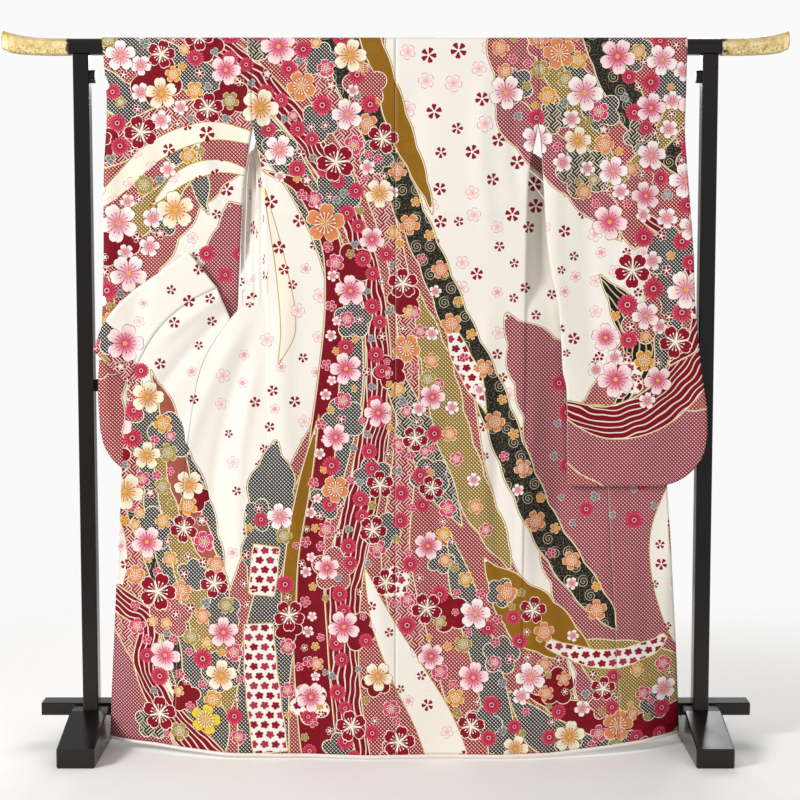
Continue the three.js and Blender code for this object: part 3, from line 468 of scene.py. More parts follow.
# flowers strung along a band: cloth, spacing, line, then kind, radius and offset in turn
chains = [
    ("body", 41, [(-140, 1680), (-92, 1560), (-42, 1420), (22, 1270), (88, 1120), (146, 980), (212, 840),
        (280, 660), (345, 520), (410, 420), (490, 320)],
     [("peach", 25, 12), ("gold", 13, -20), ("rose", 12, 18), ("peach", 22, -12), ("white", 15, 18),
      ("gold", 12, -22)]),
    ("both", 37, [(-560, 1716), (-460, 1660), (-330, 1560), (-206, 1420), (-108, 1250), (-54, 1070),
        (-40, 840), (-70, 620), (-120, 400), (-130, 180), (-96, -40)],
     [("daisy", 19, 5), ("daisy", 17, -8), ("leaf", 10, 14)]),
    ("sleeve", 40, [(470, 1700), (500, 1600), (540, 1500), (570, 1400), (600, 1310)],
     [("daisy", 20, 6), ("daisy", 17, -10), ("leaf", 11, 16)]),
    ("body", 40, [(-634, 600), (-604, 540), (-564, 440), (-534, 330), (-508, 210), (-494, 120)],
     [("gold", 14, 4), ("rose", 12, -6)]),
    ("body", 62, [(262, 384), (316, 316), (400, 262)], [("peach", 25, 10), ("white", 15, -16)]),
    ("body", 58, [(52, 1020), (96, 890), (132, 740), (180, 600), (240, 480)],
     [("rose", 16, 10), ("white", 17, -12), ("peach", 18, 8)]),
    ("body", 50, [(-20, 880), (40, 760), (108, 610)], [("rose", 14, 0), ("gold", 10, 8)]),
    ("body", 34, [(-262, 1330), (-215, 1300), (-150, 1180), (-140, 1040), (-150, 900), (-170, 700),
        (-200, 480), (-196, 270), (-180, 60)],
     [("white", 14, 4), ("gold", 10, -11), ("rose", 13, 8), ("outlined", 12, -7)]),
]
scatterAreas = [  # cloth, x, z from, x, z to, tries
    ("body", -330, 640, -160, 1400, 260), ("both", 20, 1380, 420, 1640, 400),
    ("body", 20, 640, 330, 1400, 500), ("body", -700, 800, -330, 1170, 420),
    ("body", 330, 900, 640, 1560, 260), ("body", 590, 200, 680, 900, 200),
    ("body", -3340, 1040, -2990, 1440, 200), ("body", -60, 0, 160, 420, 200),
    ("body", -700, 360, -600, 620, 90), ("body", -400, 440, -260, 860, 120),
    ("sleeve", 330, 900, 600, 1640, 420), ("sleeve", -480, 640, -330, 1400, 300),
    ("sleeve", -700, 1200, -330, 1460, 300), ("sleeve", -660, 640, -400, 1240, 500),
]
flowerLayers = ["small", "middle", "large", "scatter", "patch"]


def onCalmBand(cloth, x, z, radius):  # pale ribbons stay free of the larger flowers
    for owner, layer, fill, lobes, line in bandLines:
        if layer > 2 and fill in ("cream", "petalled", "blossomed") and cloth in (owner, "both"):
            if np.any(np.hypot(line["at"][:, 0] - x, line["at"][:, 1] - z) < line["half"] + radius):
                return True
    return False


def layFlowers(cloth, seed, before):
    random = np.random.default_rng(seed)
    laid = {name: list(before[name]) for name in flowerLayers}

    def clear(name, x, z, radius, gap, share=1.0):
        others = np.array(laid[name]) if laid[name] else np.zeros((0, 5))
        far = np.hypot(others[:, 0] - x, others[:, 1] - z)
        return np.all(far > (others[:, 2] + radius) * share + gap)

    for _, spacing, points, beads in [row for row in chains if row[0] == cloth]:
        line = smoothLine([(x, z, 0) for x, z in points], spacing)
        for i, (at, ahead) in enumerate(zip(line["at"], line["ahead"])):
            kind, radius, offset = beads[i % len(beads)]
            laid["middle"].append((at[0] + ahead[1] * offset, at[1] - ahead[0] * offset, radius,
                                   random.random() * 6, petalNumber[kind]))
    lines = [(smoothLine(row[2], 20.0), row[1], row[3]) for row in masses if row[0] == cloth]
    weights = np.array([line["along"][-1] * line["half"].mean() for line, _, _ in lines])
    for name, low, high, tries, spare, allowed in reversed(flowerSizes):
        numbers = fillNumber if name == "patch" else petalNumber
        for _ in range(tries):
            line, room, shares = lines[random.choice(len(lines), p=weights / weights.sum())]
            if name == "patch":
                shares = patchShares
                if room > layout["patchless"]:
                    continue
            i = random.integers(len(line["at"]))
            offset = (random.random() * 2 - 1) * line["half"][i]
            forward = (random.random() - 0.5) * layout["jitter"]
            ahead = line["ahead"][i]
            x = line["at"][i, 0] + ahead[1] * offset + ahead[0] * forward
            z = line["at"][i, 1] - ahead[0] * offset + ahead[1] * forward
            growth = layout["denseGrowth"] if room < layout["dense"] else 1.0
            radius = mix(low, high, random.random()) * growth
            turn, pick = random.random() * 2 * pi, random.random()
            names = [kind for kind in shares if kind in allowed]
            if not names:
                continue
            levels = np.cumsum([shares[kind] for kind in names]) / sum(shares[kind] for kind in names)
            kind = names[int(np.searchsorted(levels, pick))]
            if not clear(name, x, z, radius, spare * room) or onCalmBand(cloth, x, z, radius * 0.7):
                continue
            if all(clear(other, x, z, radius, 0, share) for other, share in overlaps.get(name, {}).items()):
                laid[name].append((x, z, radius, turn, numbers[kind]))
    for _, x1, z1, x2, z2, tries in [row for row in scatterAreas if row[0] == cloth]:
        for _ in range(tries):
            x, z = mix(x1, x2, random.random()), mix(z1, z2, random.random())
            kind = "outlined" if random.random() < layout["outlined"] else "speck"
            turn, rise = random.random() * 2 * pi, ease((z - 950) / 550)
            # larger and closer together near the shoulder
            radius = mix(9, 14, random.random()) * mix(1, 1.38, rise) * (1.2 if kind == "outlined" else 1)
            if clear("scatter", x, z, radius, 6 + mix(62, 20, rise) * random.random()):
                laid["scatter"].append((x, z, radius, turn, petalNumber[kind]))
    return laid


shared = layFlowers("both", 41, {name: [] for name in flowerLayers})
flowers = {"body": layFlowers("body", 23, shared), "sleeve": layFlowers("sleeve", 17, shared)}
for cloth, laid in flowers.items():
    print("flowers laid out on the", cloth, {name: len(rows) for name, rows in laid.items()})


def paintFlowers(laid, corners, centres):  # place within the nearest flower, its size and kind
    margin = 9.0
    painted = np.zeros((len(centres), 4, 4), np.float32)
    painted[..., [0, 2]] = 500.0, 10.0  # far from any flower
    best = np.full(len(centres), margin)
    order = np.argsort(centres[:, 1])
    heights = centres[order, 1]
    for x, z, radius, turn, kind in laid:
        first, last = np.searchsorted(heights, [z - radius - margin, z + radius + margin])
        rows = order[first:last]
        rows = rows[np.abs(centres[rows, 0] - x) < radius + margin]
        away = np.hypot(centres[rows, 0] - x, centres[rows, 1] - z) - radius
        rows, away = rows[away < best[rows]], away[away < best[rows]]
        best[rows] = away
        east, north = np.moveaxis(corners[rows] - np.array([x, z]), -1, 0)
        painted[rows, :, 0] = east * cos(turn) + north * sin(turn)
        painted[rows, :, 1] = north * cos(turn) - east * sin(turn)
        painted[rows, :, 2:] = radius, kind
    return painted


# building a sheet of cloth from a grid of points

clothMaterials = []  # outer print, lining; filled in once they are made


def clothPatch(grid, design, outward, keep=None):
    rows, columns = grid.shape[:2]
    index = np.arange(rows * columns).reshape(rows, columns)
    quads = np.stack([index[:-1, :-1], index[1:, :-1], index[1:, 1:], index[:-1, 1:]], axis=-1)
    if keep is not None:
        quads = quads[keep]
    quads = quads.reshape(-1, 4)
    row, sign = outward  # a row of the grid and the way its outer side faces along Y
    along = grid[row + 1, columns // 2] - grid[row, columns // 2]
    across = grid[row, columns // 2 + 1] - grid[row, columns // 2]
    if np.cross(along, across)[1] * sign < 0:
        quads = quads[:, ::-1]
    return grid.reshape(-1, 3), design.reshape(-1, 2), quads


def clothObject(name, patches, thickness, cloth="body"):
    starts = np.cumsum([0] + [len(grid) for grid, _, _ in patches])
    points, designs = [np.concatenate([patch[k] for patch in patches]) for k in range(2)]
    used, quads = np.unique(np.concatenate([patch[2] + start for patch, start in zip(patches, starts)]),
                            return_inverse=True)
    points, designs, quads = points[used], designs[used], quads.reshape(-1, 4)
    mesh = bpy.data.meshes.new(name)
    mesh.vertices.add(len(points))
    mesh.vertices.foreach_set("co", (points * mm).ravel())
    mesh.loops.add(quads.size)
    mesh.loops.foreach_set("vertex_index", quads.ravel())
    mesh.polygons.add(len(quads))
    mesh.polygons.foreach_set("loop_start", np.arange(0, quads.size, 4))
    mesh.polygons.foreach_set("loop_total", np.full(len(quads), 4))
    mesh.update(calc_edges=True)
    corners = designs[quads]
    centres = corners.mean(1)
    layers = {"ground%d" % k: values for k, values in enumerate(paintBands(cloth, corners, centres))}
    layers.update({size: paintFlowers(flowers[cloth][size], corners, centres) for size in flowerLayers})
    uv = mesh.uv_layers.new(name="design")
    uv.data.foreach_set("uv", (corners * mm).astype(np.float32).ravel())
    for attribute, values in layers.items():
        data = mesh.attributes.new(attribute, "FLOAT_COLOR", "CORNER").data
        data.foreach_set("color", values.reshape(-1).astype(np.float32))
    for material in clothMaterials:
        mesh.materials.append(material)
    mesh.polygons.foreach_set("use_smooth", np.ones(len(quads), bool))
    obj = placed(name, mesh)
    bpy.ops.object.select_all(action="DESELECT")
    bpy.context.view_layer.objects.active = obj
    obj.select_set(True)
    shell = obj.modifiers.new("shell", "SOLIDIFY")
    shell.thickness, shell.offset = thickness * mm, 0.0
    shell.material_offset, shell.material_offset_rim = 1, 1
    bpy.ops.object.modifier_apply(modifier=shell.name)
    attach(obj, "root")
    print("cloth piece:", name, len(quads), "cells")
    return obj


# materials

def connect(tree, node, inputs):  # a value is linked, a number or colour is set
    for key, given in inputs.items():
        if isinstance(given, Value):
            tree.links.new(given.socket, node.inputs[key])
        else:
            node.inputs[key].default_value = given


def addNode(tree, kind, inputs=None, **settings):
    node = tree.nodes.new(kind)
    for key, setting in settings.items():
        setattr(node, key, setting)
    connect(tree, node, inputs or {})
    return node


def outputsOf(tree, kind, inputs=None, **settings):
    return [Value(tree, socket) for socket in addNode(tree, kind, inputs, **settings).outputs]


def stepOf(operation, turned=False):
    return lambda value, *others: value.step(operation, *others, turned=turned)


class Value:  # a socket that can stand in a sum, one node for each step
    def __init__(self, tree, socket):
        self.tree, self.socket = tree, socket

    def step(self, operation, *others, turned=False):
        terms = (*others, self) if turned else (self, *others)
        return outputsOf(self.tree, "ShaderNodeMath", dict(enumerate(terms)), operation=operation)[0]

    __add__ = __radd__ = stepOf("ADD")
    __mul__ = __rmul__ = stepOf("MULTIPLY")
    __sub__, __rsub__ = stepOf("SUBTRACT"), stepOf("SUBTRACT", True)
    __truediv__, __pow__, __abs__ = stepOf("DIVIDE"), stepOf("POWER"), stepOf("ABSOLUTE")
    __lt__, __gt__ = stepOf("LESS_THAN"), stepOf("GREATER_THAN")
    sqrt, sine, fract, floor = stepOf("SQRT"), stepOf("SINE"), stepOf("FRACT"), stepOf("FLOOR")
    larger, smaller, angle = stepOf("MAXIMUM"), stepOf("MINIMUM"), stepOf("ARCTAN2")

    def isNumber(self, number):
        return self.step("COMPARE", float(number), 0.4)

    def band(self, low, high):  # 0 below low, 1 above high
        inputs = {0: self, 1: low, 2: high}
        return outputsOf(self.tree, "ShaderNodeMapRange", inputs, interpolation_type="SMOOTHSTEP")[0]


mixSockets = {"FLOAT": (2, 0), "VECTOR": (4, 1), "RGBA": (6, 2)}  # first of the pair, result


def blend(share, first, second, kind="RGBA"):
    start, result = mixSockets[kind]
    inputs = {0: share, start: first, start + 1: second}
    return outputsOf(share.tree, "ShaderNodeMix", inputs, data_type=kind)[result]


def choose(share, first, second):
    return blend(share, first, second, "FLOAT")


def table(number, colours):  # one flat colour and alpha for each whole number
    node = addNode(number.tree, "ShaderNodeValToRGB", {0: (number + 0.5) / float(len(colours))})
    ramp = node.color_ramp
    ramp.interpolation = "CONSTANT"
    ramp.elements.remove(ramp.elements[1])
    for i, colour in enumerate(colours):
        stop = ramp.elements[0] if i == 0 else ramp.elements.new(i / len(colours))
        stop.position, stop.color = i / len(colours), colour
    return [Value(number.tree, socket) for socket in node.outputs]


def tintTable(number, kinds, column):
    return table(number, [tint(row[column]) for row in kinds.values()])[0]


def objectPlace(tree):
    return Value(tree, addNode(tree, "ShaderNodeTexCoord").outputs["Object"])


def parts(vector):
    return outputsOf(vector.tree, "ShaderNodeSeparateXYZ", {0: vector})


def noise(place, scale, detail):
    return outputsOf(place.tree, "ShaderNodeTexNoise", {"Vector": place, "Scale": scale, "Detail": detail})[0]


def bump(height, strength, distance):
    inputs = {"Height": height, "Strength": strength, "Distance": distance}
    return outputsOf(height.tree, "ShaderNodeBump", inputs)[0]


def newMaterial(name):
    material = bpy.data.materials.new(name)
    material.use_nodes = True
    tree = material.node_tree
    return material, tree, tree.nodes["Principled BSDF"]


def makeFlowerGroup():
    tree = bpy.data.node_groups.new("embroideredFlower", "ShaderNodeTree")
    for name, kind, way in (("place", "NodeSocketVector", "INPUT"), ("kind", "NodeSocketFloat", "INPUT"),
                            ("colour", "NodeSocketColor", "OUTPUT"), ("share", "NodeSocketFloat", "OUTPUT")):
        tree.interface.new_socket(name, in_out=way, socket_type=kind)
    place, kind = outputsOf(tree, "NodeGroupInput")[:2]
    x, z, size = parts(place)
    many, leaf, speck, crimson, rose, peach = [
        kind.isNumber(petalNumber[name]) for name in ("daisy", "leaf", "speck", "crimson", "rose", "peach")]
    few = 1.0 - many
    far = (x * x + z * z).sqrt()
    r = far / size
    turn = z.angle(x) / (2 * pi)
    count = many * 11.0 + 5.0 - leaf * 2.0
    spot = abs((turn * count + 8.0).fract() - 0.5) * 2.0  # 0 at a petal's middle, 1 between two
    arc = far * pi / count  # half a petal's width here, in mm
    notch = (1.0 - spot / 0.17).larger(0.0) * choose(many, 0.06, 0.0)
    rounding = spot ** 3.0 * choose(many, 0.5, 0.2)
    inside = (1.0 - rounding - notch) * size - far
    apart = speck * (spot > 0.62).larger(r < 0.2)
    share = (inside > 0.0) * (1.0 - apart)
    # outlines: finer on small flowers, and light ones broader than dark ones
    pale = crimson.larger(kind > 5.5).larger(rose).larger(peach) * few
    width = size ** 0.5 * 0.3 * choose(pale, 0.66, 1.0)
    cleft = (width * choose(crimson, 0.45, 1.1)).smaller(arc * choose(crimson, 0.3, 1.0))
    cleft = choose(many, cleft, arc * 0.26)
    edge = (inside < width * choose(many, 1.0, 0.4)).larger((1.0 - spot) * arc < cleft)
    tip, base, line = [tintTable(kind, petals, column) for column in range(3)]
    streak = (turn * (count * 28.0)).sine() * 0.06
    body = blend((r + streak).band(0.16, 0.86), base, tip)
    # three stamens on each petal, a thread with a bead
    beside = abs((turn * (count * 3.0) + 8.5).fract() - 0.5) * 2.0 * (arc / 3.0)
    thread = (beside < width * 0.28) * ((r > 0.14) * (r < 0.46))
    bead = (abs(r - 0.49) < 0.045) * (beside < width * 0.75)
    stamen = thread.larger(bead) * ((size > 13.0) * few)
    eye = r < choose(many, 0.12, 0.13)
    halo = many * ((r < 0.26) * (r > 0.17))
    colour = blend(edge, body, line)
    colour = blend(stamen, colour, blend(pale, tint("#8C2A36"), tint("#FBF0DC")))
    colour = blend(eye, colour, blend(crimson, tint("#E3A94A"), tint("#F6E6C8")))
    colour = blend(halo * 0.75, colour, tint("#F4C9CC"))
    colour = blend(many * eye, colour, tint("#6E0A1E"))
    colour = blend(speck, colour, tip)
    addNode(tree, "NodeGroupOutput", {0: colour, 1: share})
    return tree


marking = {"pitch": 6.0, "vine": 32.0, "stream": 12.0, "fret": 26.0, "gold": 2.1, "cord": 4.0}  # in mm


def makePrintedSilk():
    material, tree, shader = newMaterial("printedSilkCrepe")

    def read(name):  # place and kind painted on the cloth
        return outputsOf(tree, "ShaderNodeAttribute", attribute_name=name, attribute_type="GEOMETRY")[1::2]

    design = outputsOf(tree, "ShaderNodeUVMap", uv_map="design")[0]
    spread = outputsOf(tree, "ShaderNodeVectorMath", {0: design, 3: 1000.0}, operation="SCALE")[0]
    across, up, _ = parts(spread)

    def bricks(width, height):  # staggered cells: distance and angle from the middle, a chance
        row = (up / height).floor()
        column = across / width + row * 0.5
        p, q = column.fract() - 0.5, (up / height).fract() - 0.5
        cell = outputsOf(tree, "ShaderNodeCombineXYZ", {0: column.floor(), 1: row})[0]
        chance = outputsOf(tree, "ShaderNodeTexWhiteNoise", {"Vector": cell}, noise_dimensions="2D")[0]
        return (p * p + q * q).sqrt(), q.angle(p), chance

    ground, fill = outputsOf(tree, "ShaderNodeCombineXYZ", {2: 60.0})[0], 0.0
    for k in range(bandLayers):
        place, kind = read("ground%d" % k)
        over = parts(place)[2] > 0.0
        ground, fill = blend(over, ground, place, "VECTOR"), choose(over, fill, kind)
    _, side, depth = parts(ground)
    place, kind = read("patch")  # blossom-shaped patches of another ground
    px, pz, size = parts(place)
    lobe = abs((pz.angle(px) * 2.5).sine())
    within = size * (lobe * 0.28 + 0.72) - (px * px + pz * pz).sqrt()
    over = (within > 0.0) * (fill > 1.5)
    fill, depth = choose(over, fill, kind), choose(over, depth, within + 1.6)
    # tied dots on a slanting grid, a pale square round a dark point
    rising, falling = across + up, up - across
    a, b = [(slope / (marking["pitch"] * 1.414)).fract() - 0.5 for slope in (rising, falling)]
    dots = abs(a).larger(abs(b) * 0.8).band(0.26, 0.215)
    # curled vines over a mottled ground
    far, angle, chance = bricks(marking["vine"], marking["vine"])
    curl = (far * 5.2 + angle / (2 * pi)).fract()
    vine = (abs(curl - 0.5) < 0.13) * (far < 0.44) * (chance < 0.5)
    vine = vine.larger(noise(spread, 0.28, 3.0).band(0.5, 0.62) * 0.22)
    # lines that run with the band
    stream = (side / marking["stream"] + noise(spread, 0.012, 1.0) * 3.0).fract()
    stream = abs(stream - 0.5) < 0.11
    # fret of short bars that turn from block to block
    blocks = (rising / marking["fret"]).floor() + (falling / marking["fret"]).floor()
    odd = (blocks * 0.5).fract() > 0.25
    fret = ((up + across * (odd * 2.0 - 1.0)) / 8.667).fract() < 0.42
    weights, fretShare = table(fill, [tuple(float(share) for share in row[2]) for row in fills.values()])
    dotShare, vineShare, streamShare = outputsOf(tree, "ShaderNodeSeparateColor", {0: weights})
    marks = (dots * dotShare + fret * fretShare) + (vine * vineShare + stream * streamShare)
    colour = blend(marks, tintTable(fill, fills, 0), tintTable(fill, fills, 1))
    # little crimson blossoms strewn over white
    far, angle, chance = bricks(25.0, 22.0)
    lobe = abs(((angle + chance * 6.0) * 2.5).sine())
    tiny = (far < lobe ** 0.6 * 0.17 + 0.24) * fill.isNumber(fillNumber["blossomed"])
    colour = blend(tiny, colour, blend(chance > 0.5, tint("#8E1028"), tint("#A8324A")))
    gold = (depth < marking["gold"]) * (depth > 0.0)
    cord = (depth < marking["cord"]) * (depth > marking["gold"])
    colour = blend(cord, blend(gold, colour, tint("#C9A455")), tint("#F3E8D2"))
    flowerGroup, raised = makeFlowerGroup(), gold
    for name in ("scatter", "small", "middle", "large"):
        place, kind = read(name)
        flower, share = outputsOf(tree, "ShaderNodeGroup", {0: place, 1: kind}, node_tree=flowerGroup)
        if name == "scatter":
            share = share * (fill < 1.5)
        colour, gold = blend(share, colour, flower), gold * (1.0 - share)
        raised = raised.larger(share)
    crepe = noise(objectPlace(tree), 900.0, 2.0)
    connect(tree, shader, {
        "Base Color": colour, "Metallic": gold * 0.55, "Roughness": 0.58 - gold * 0.22,
        "Sheen Weight": 0.01, "Sheen Roughness": 0.4, "Specular IOR Level": 0.15,
        "Normal": bump(crepe * 0.35 + raised, 0.3, 0.0006),
    })
    return material


def makeLining():
    material, tree, shader = newMaterial("creamSilkLining")
    place = objectPlace(tree)
    up, facingTop = parts(place)[2], 0.64  # the lower facing is a second cloth, sewn on here
    seam = abs(up - facingTop) < 0.0012
    colour = blend(up < facingTop, tint("#F0E8DA"), tint("#F2E6DD"))
    connect(tree, shader, {
        "Base Color": blend(seam * 0.6, colour, tint("#A8988C")), "Roughness": 0.5, "Sheen Weight": 0.1,
        "Normal": bump(noise(place, 700.0, 2.0), 0.1, 0.0003),
    })
    return material


def makeLacquer():
    material, tree, shader = newMaterial("blackLacquer")
    cloud = noise(objectPlace(tree), 14.0, 3.0)
    rough = outputsOf(tree, "ShaderNodeMapRange", {0: cloud, 1: 0.3, 2: 0.7, 3: 0.17, 4: 0.27})[0]
    connect(tree, shader, {"Roughness": rough, "Base Color": tint("#120D0B"), "Specular IOR Level": 0.4})
    return material


def makeGoldLeaf():
    material, tree, shader = newMaterial("goldLeafOverLacquer")
    place = objectPlace(tree)
    x, _, z = parts(place)
    speckle, cloud = noise(place, 260.0, 4.0), noise(place, 60.0, 3.0)
    leaf = (abs(x) + cloud * 0.05).band(0.766, 0.776)  # its torn inner end
    worn = speckle.band(0.52, 0.62) * z.band(1.640, 1.608)
    colour = blend(cloud.band(0.35, 0.65), tint("#DDBE74"), tint("#F2E0AC"))
    colour = blend(worn * 0.75, colour, tint("#6E4B22"))
    connect(tree, shader, {
        "Base Color": blend(leaf, tint("#2A1D10"), colour), "Metallic": leaf * 0.5,
        "Roughness": speckle * 0.25 + 0.3, "Normal": bump(speckle, 0.3, 0.0008),
    })
    return material


clothMaterials += [makePrintedSilk(), makeLining()]
lacquer, goldLeaf = makeLacquer(), makeGoldLeaf()
print("materials made")

# body strips: back hem over the shoulder to front hem

backLevels = steps(form["hem"], form["shoulder"])
frontLevels = backLevels[::-1]
neckCells, sideCells, crestCells = 14, 36, 10
neckShare = form["neckHalf"] / 326
columnShares = np.r_[np.linspace(0, neckShare, neckCells + 1), np.linspace(neckShare, 1, sideCells + 1)[1:]]


def overDesign(x, t):  # the print runs on over the rod
    height = form["shoulder"] + form["crestPrint"] * (1 - abs(1 - 2 * t))
    return np.stack([x, np.full(len(x), height)], axis=-1)


def settledPatch(grid, outward):
    return clothPatch(settle(grid), seen(grid), outward)


def bodyStrip(side, frontRow):
    def across(z):
        return side * mix(form["centreGap"], backEdge(z), columnShares)

    rows = [point(across(z), backY(across(z), z), z) for z in backLevels]
    designs = [seen(row) for row in rows]
    for t in np.linspace(0, 1, crestCells + 1)[1:]:
        y, z = overRod(t)
        rows.append(point(across(z), y, z))
        designs.append(overDesign(across(z), t))
    for z in frontLevels[1:]:  # the front starts at the neck, so its cells up to there have no width
        row, design = [np.concatenate([np.repeat(part[:1], neckCells, axis=0), part]) for part in frontRow(z)]
        rows.append(row)
        designs.append(design)
    keep = np.ones((len(rows) - 1, len(columnShares) - 1), bool)
    keep[len(backLevels) + crestCells // 2 - 1:, :neckCells] = False
    return clothPatch(settle(np.array(rows)), np.array(designs), (5, -1), keep)


def rightStrip(z, start, width, cells):
    return rightRow(z, np.linspace(start, start + width, cells + 1))


def rightBodyRow(z):
    row = rightStrip(z, 0, rightFront["strip"](z), sideCells)[::-1]
    return row, seen(row)


def leftBodyRow(z):
    return [part[::-1] for part in leftRow(z, sideCells)]


bodyLeft = clothObject("silkBodyLeft", [bodyStrip(-1, leftBodyRow)], form["shell"])
bodyRight = clothObject("silkBodyRight", [bodyStrip(1, rightBodyRow)], form["shell"])

# overlap panels

okumi = {"top": 1385.0, "cells": 20}


def rolledSeam(z, wall):
    return form["seam"] + wall * 0.8 * ease((z - 930) / 80)


rows = []
for z in frontLevels[frontLevels < okumi["top"]]:
    start = rightFront["strip"](z) + rolledSeam(z, 2.0)
    rows.append(rightStrip(z, start, rightFront["overlap"](z), okumi["cells"]))
patch = settledPatch(np.array(rows), (len(rows) - 6, -1))
okumiRight = clothObject("silkOverlapRight", [patch], form["shell"])

okumiTable = [  # height on the seam, then outer edge x and z
    (1003, 409, 1073), (985, 445, 1056), (955, 476, 1038), (925, 519, 1004), (895, 556, 961),
    (860, 588, 905), (815, 614, 851), (770, 621, 795), (650, 630, 669), (540, 637, 550),
    (430, 646, 436), (180, 662, 184), (13, 670, 13),
]
okumiSeamZ, okumiX, okumiZ = columns([(i, *row) for i, row in enumerate(okumiTable)])


def flat(x, z):
    return point(-x, leftY(-x, z), z)


rows = []
for at in np.linspace(0, len(okumiTable) - 1, 170):
    z = okumiSeamZ(at)
    inner, t = frontEdge(-1, z)[0] + leftWidth(z) + form["seam"], np.linspace(0, 1, 43)
    rows.append(flat(mix(inner, okumiX(at), t), mix(z, okumiZ(at), t)))
patch = settledPatch(tuckedUnder(np.array(rows)), (60, -1))
okumiLeft = clothObject("silkOverlapLeft", [patch], form["shell"])

# collar: neck band, the band down each front, the link under the opened front and the opened end

collar = {"half": 89, "lift": 16.8, "arc": 14.5, "top": 1596.0, "end": 858.0}
across = np.linspace(-collar["half"], collar["half"], 30)
rows = [point(across, *overRod(t, collar["lift"], collar["arc"])) for t in np.linspace(0.53, 1, 9)]
rows += [point(across, collar["lift"], z) for z in steps(form["shoulder"], 1532)[1:]]
neckGrid = np.array(rows)
rows = []
for z in np.r_[frontLevels[(frontLevels < collar["top"]) & (frontLevels > collar["end"] + 4)], collar["end"]]:
    overlap = 0 if z > okumi["top"] else rightFront["overlap"](z) + rolledSeam(z, 2.0)
    start = rightFront["strip"](z) + overlap + rolledSeam(z, 3.0)
    rows.append(rightStrip(z, start, rightFront["band"](z), 11))
rightBand = np.array(rows)
leftBandWidth = track([(1660, 50), (1510, 36), (1420, 15), (1300, 9), (1060, 8)])
rows = []
for z in steps(collar["top"], 1066):
    row, _ = leftRow(z, 14)
    angle, reach = np.radians(leftAngle(z)), 3.4 + np.linspace(0, leftBandWidth(z), 7)
    rows.append(point(row[-1, 0] + np.cos(angle) * reach, row[-1, 1] + np.sin(angle) * reach, z))
leftBand = np.array(rows)
link = [  # inner x and z, outer x and z, then y
    (350, 1082, 357, 1082, -24), (350, 1062, 358, 1064, -26), (350, 1024, 361, 1032, -27),
    (358, 975, 368, 992, -27.5), (400, 952, 402, 974, -27.5), (452, 1012, 436, 1026, -27.5),
    (474, 1056, 452, 1068, -27.5), (486, 1096, 466, 1110, -27.5),
]
linkGrid = np.array([point(-np.linspace(x1, x2, 4), y, np.linspace(z1, z2, 4)) for x1, z1, x2, z2, y in link])
bandEnd = [(474, 1156), (514, 1128), (553, 1100), (598, 1069), (640, 1030), (672, 985), (694, 931)]
collarX, collarZ = columns([(i, *row) for i, row in enumerate(bandEnd)])
rows = []
for at in np.linspace(0, len(bandEnd) - 1, 46):
    inner, outer = np.array([okumiX(at), okumiZ(at)]), np.array([collarX(at), collarZ(at)])
    inner = inner + (outer - inner) / np.linalg.norm(outer - inner) * form["seam"]
    t = np.linspace(0, 1, 14)
    rows.append(flat(mix(inner[0], outer[0], t), mix(inner[1], outer[1], t)))
collarCloth = clothObject("silkCollar", [
    clothPatch(neckGrid, seen(neckGrid), (12, 1)),
    settledPatch(rightBand, (len(rightBand) - 6, -1)),
    settledPatch(leftBand, (10, 1)),
    clothPatch(linkGrid, seen(linkGrid), (5, -1)),
    settledPatch(tuckedUnder(np.array(rows)), (26, -1)),
], form["collarShell"])

# long sleeves, each folded at the shoulder

sleeves = {
    "Left": {
        "side": -1, "bottom": 640.0, "backSwing": 5.5, "frontSwing": 34.0, "corner": 110.0,
        "inner": track([(1660, 326.8), (1450, 325.8), (1400, 334), (1297, 348), (1000, 364), (640, 374)]),
        "outer": track([(1660, 669), (1580, 662), (1480, 657), (1326, 666), (1137, 669), (970, 676),
                        (848, 686), (725, 682), (640, 682)]),
    },
    "Right": {
        "side": 1, "bottom": 618.0, "backSwing": 25.5, "frontSwing": 54.0, "corner": 118.0,
        "inner": track([(1660, 326.8), (1450, 325.8), (1410, 332), (1194, 346), (1110, 356), (1037, 372),
                        (940, 381), (885, 384), (840, 393), (618, 396)]),
        "outer": track([(1660, 663), (1500, 660), (1425, 659), (1326, 667), (1160, 681), (1032, 687),
                        (878, 703), (800, 715), (725, 717), (618, 717)]),
    },
}
sleeveFit = {"underRod": 1598.0, "wristOpening": 250.0, "sewnGap": 2.5, "cells": 52,
             "folds": ((0.2, 4), (0.5, -4), (0.8, 5))}


def sleeveInner(sleeve, z):
    free = sleeve["inner"](z)
    return np.where(z > form["sewnArmhole"], np.maximum(free, backEdge(z) + form["seam"]), free)


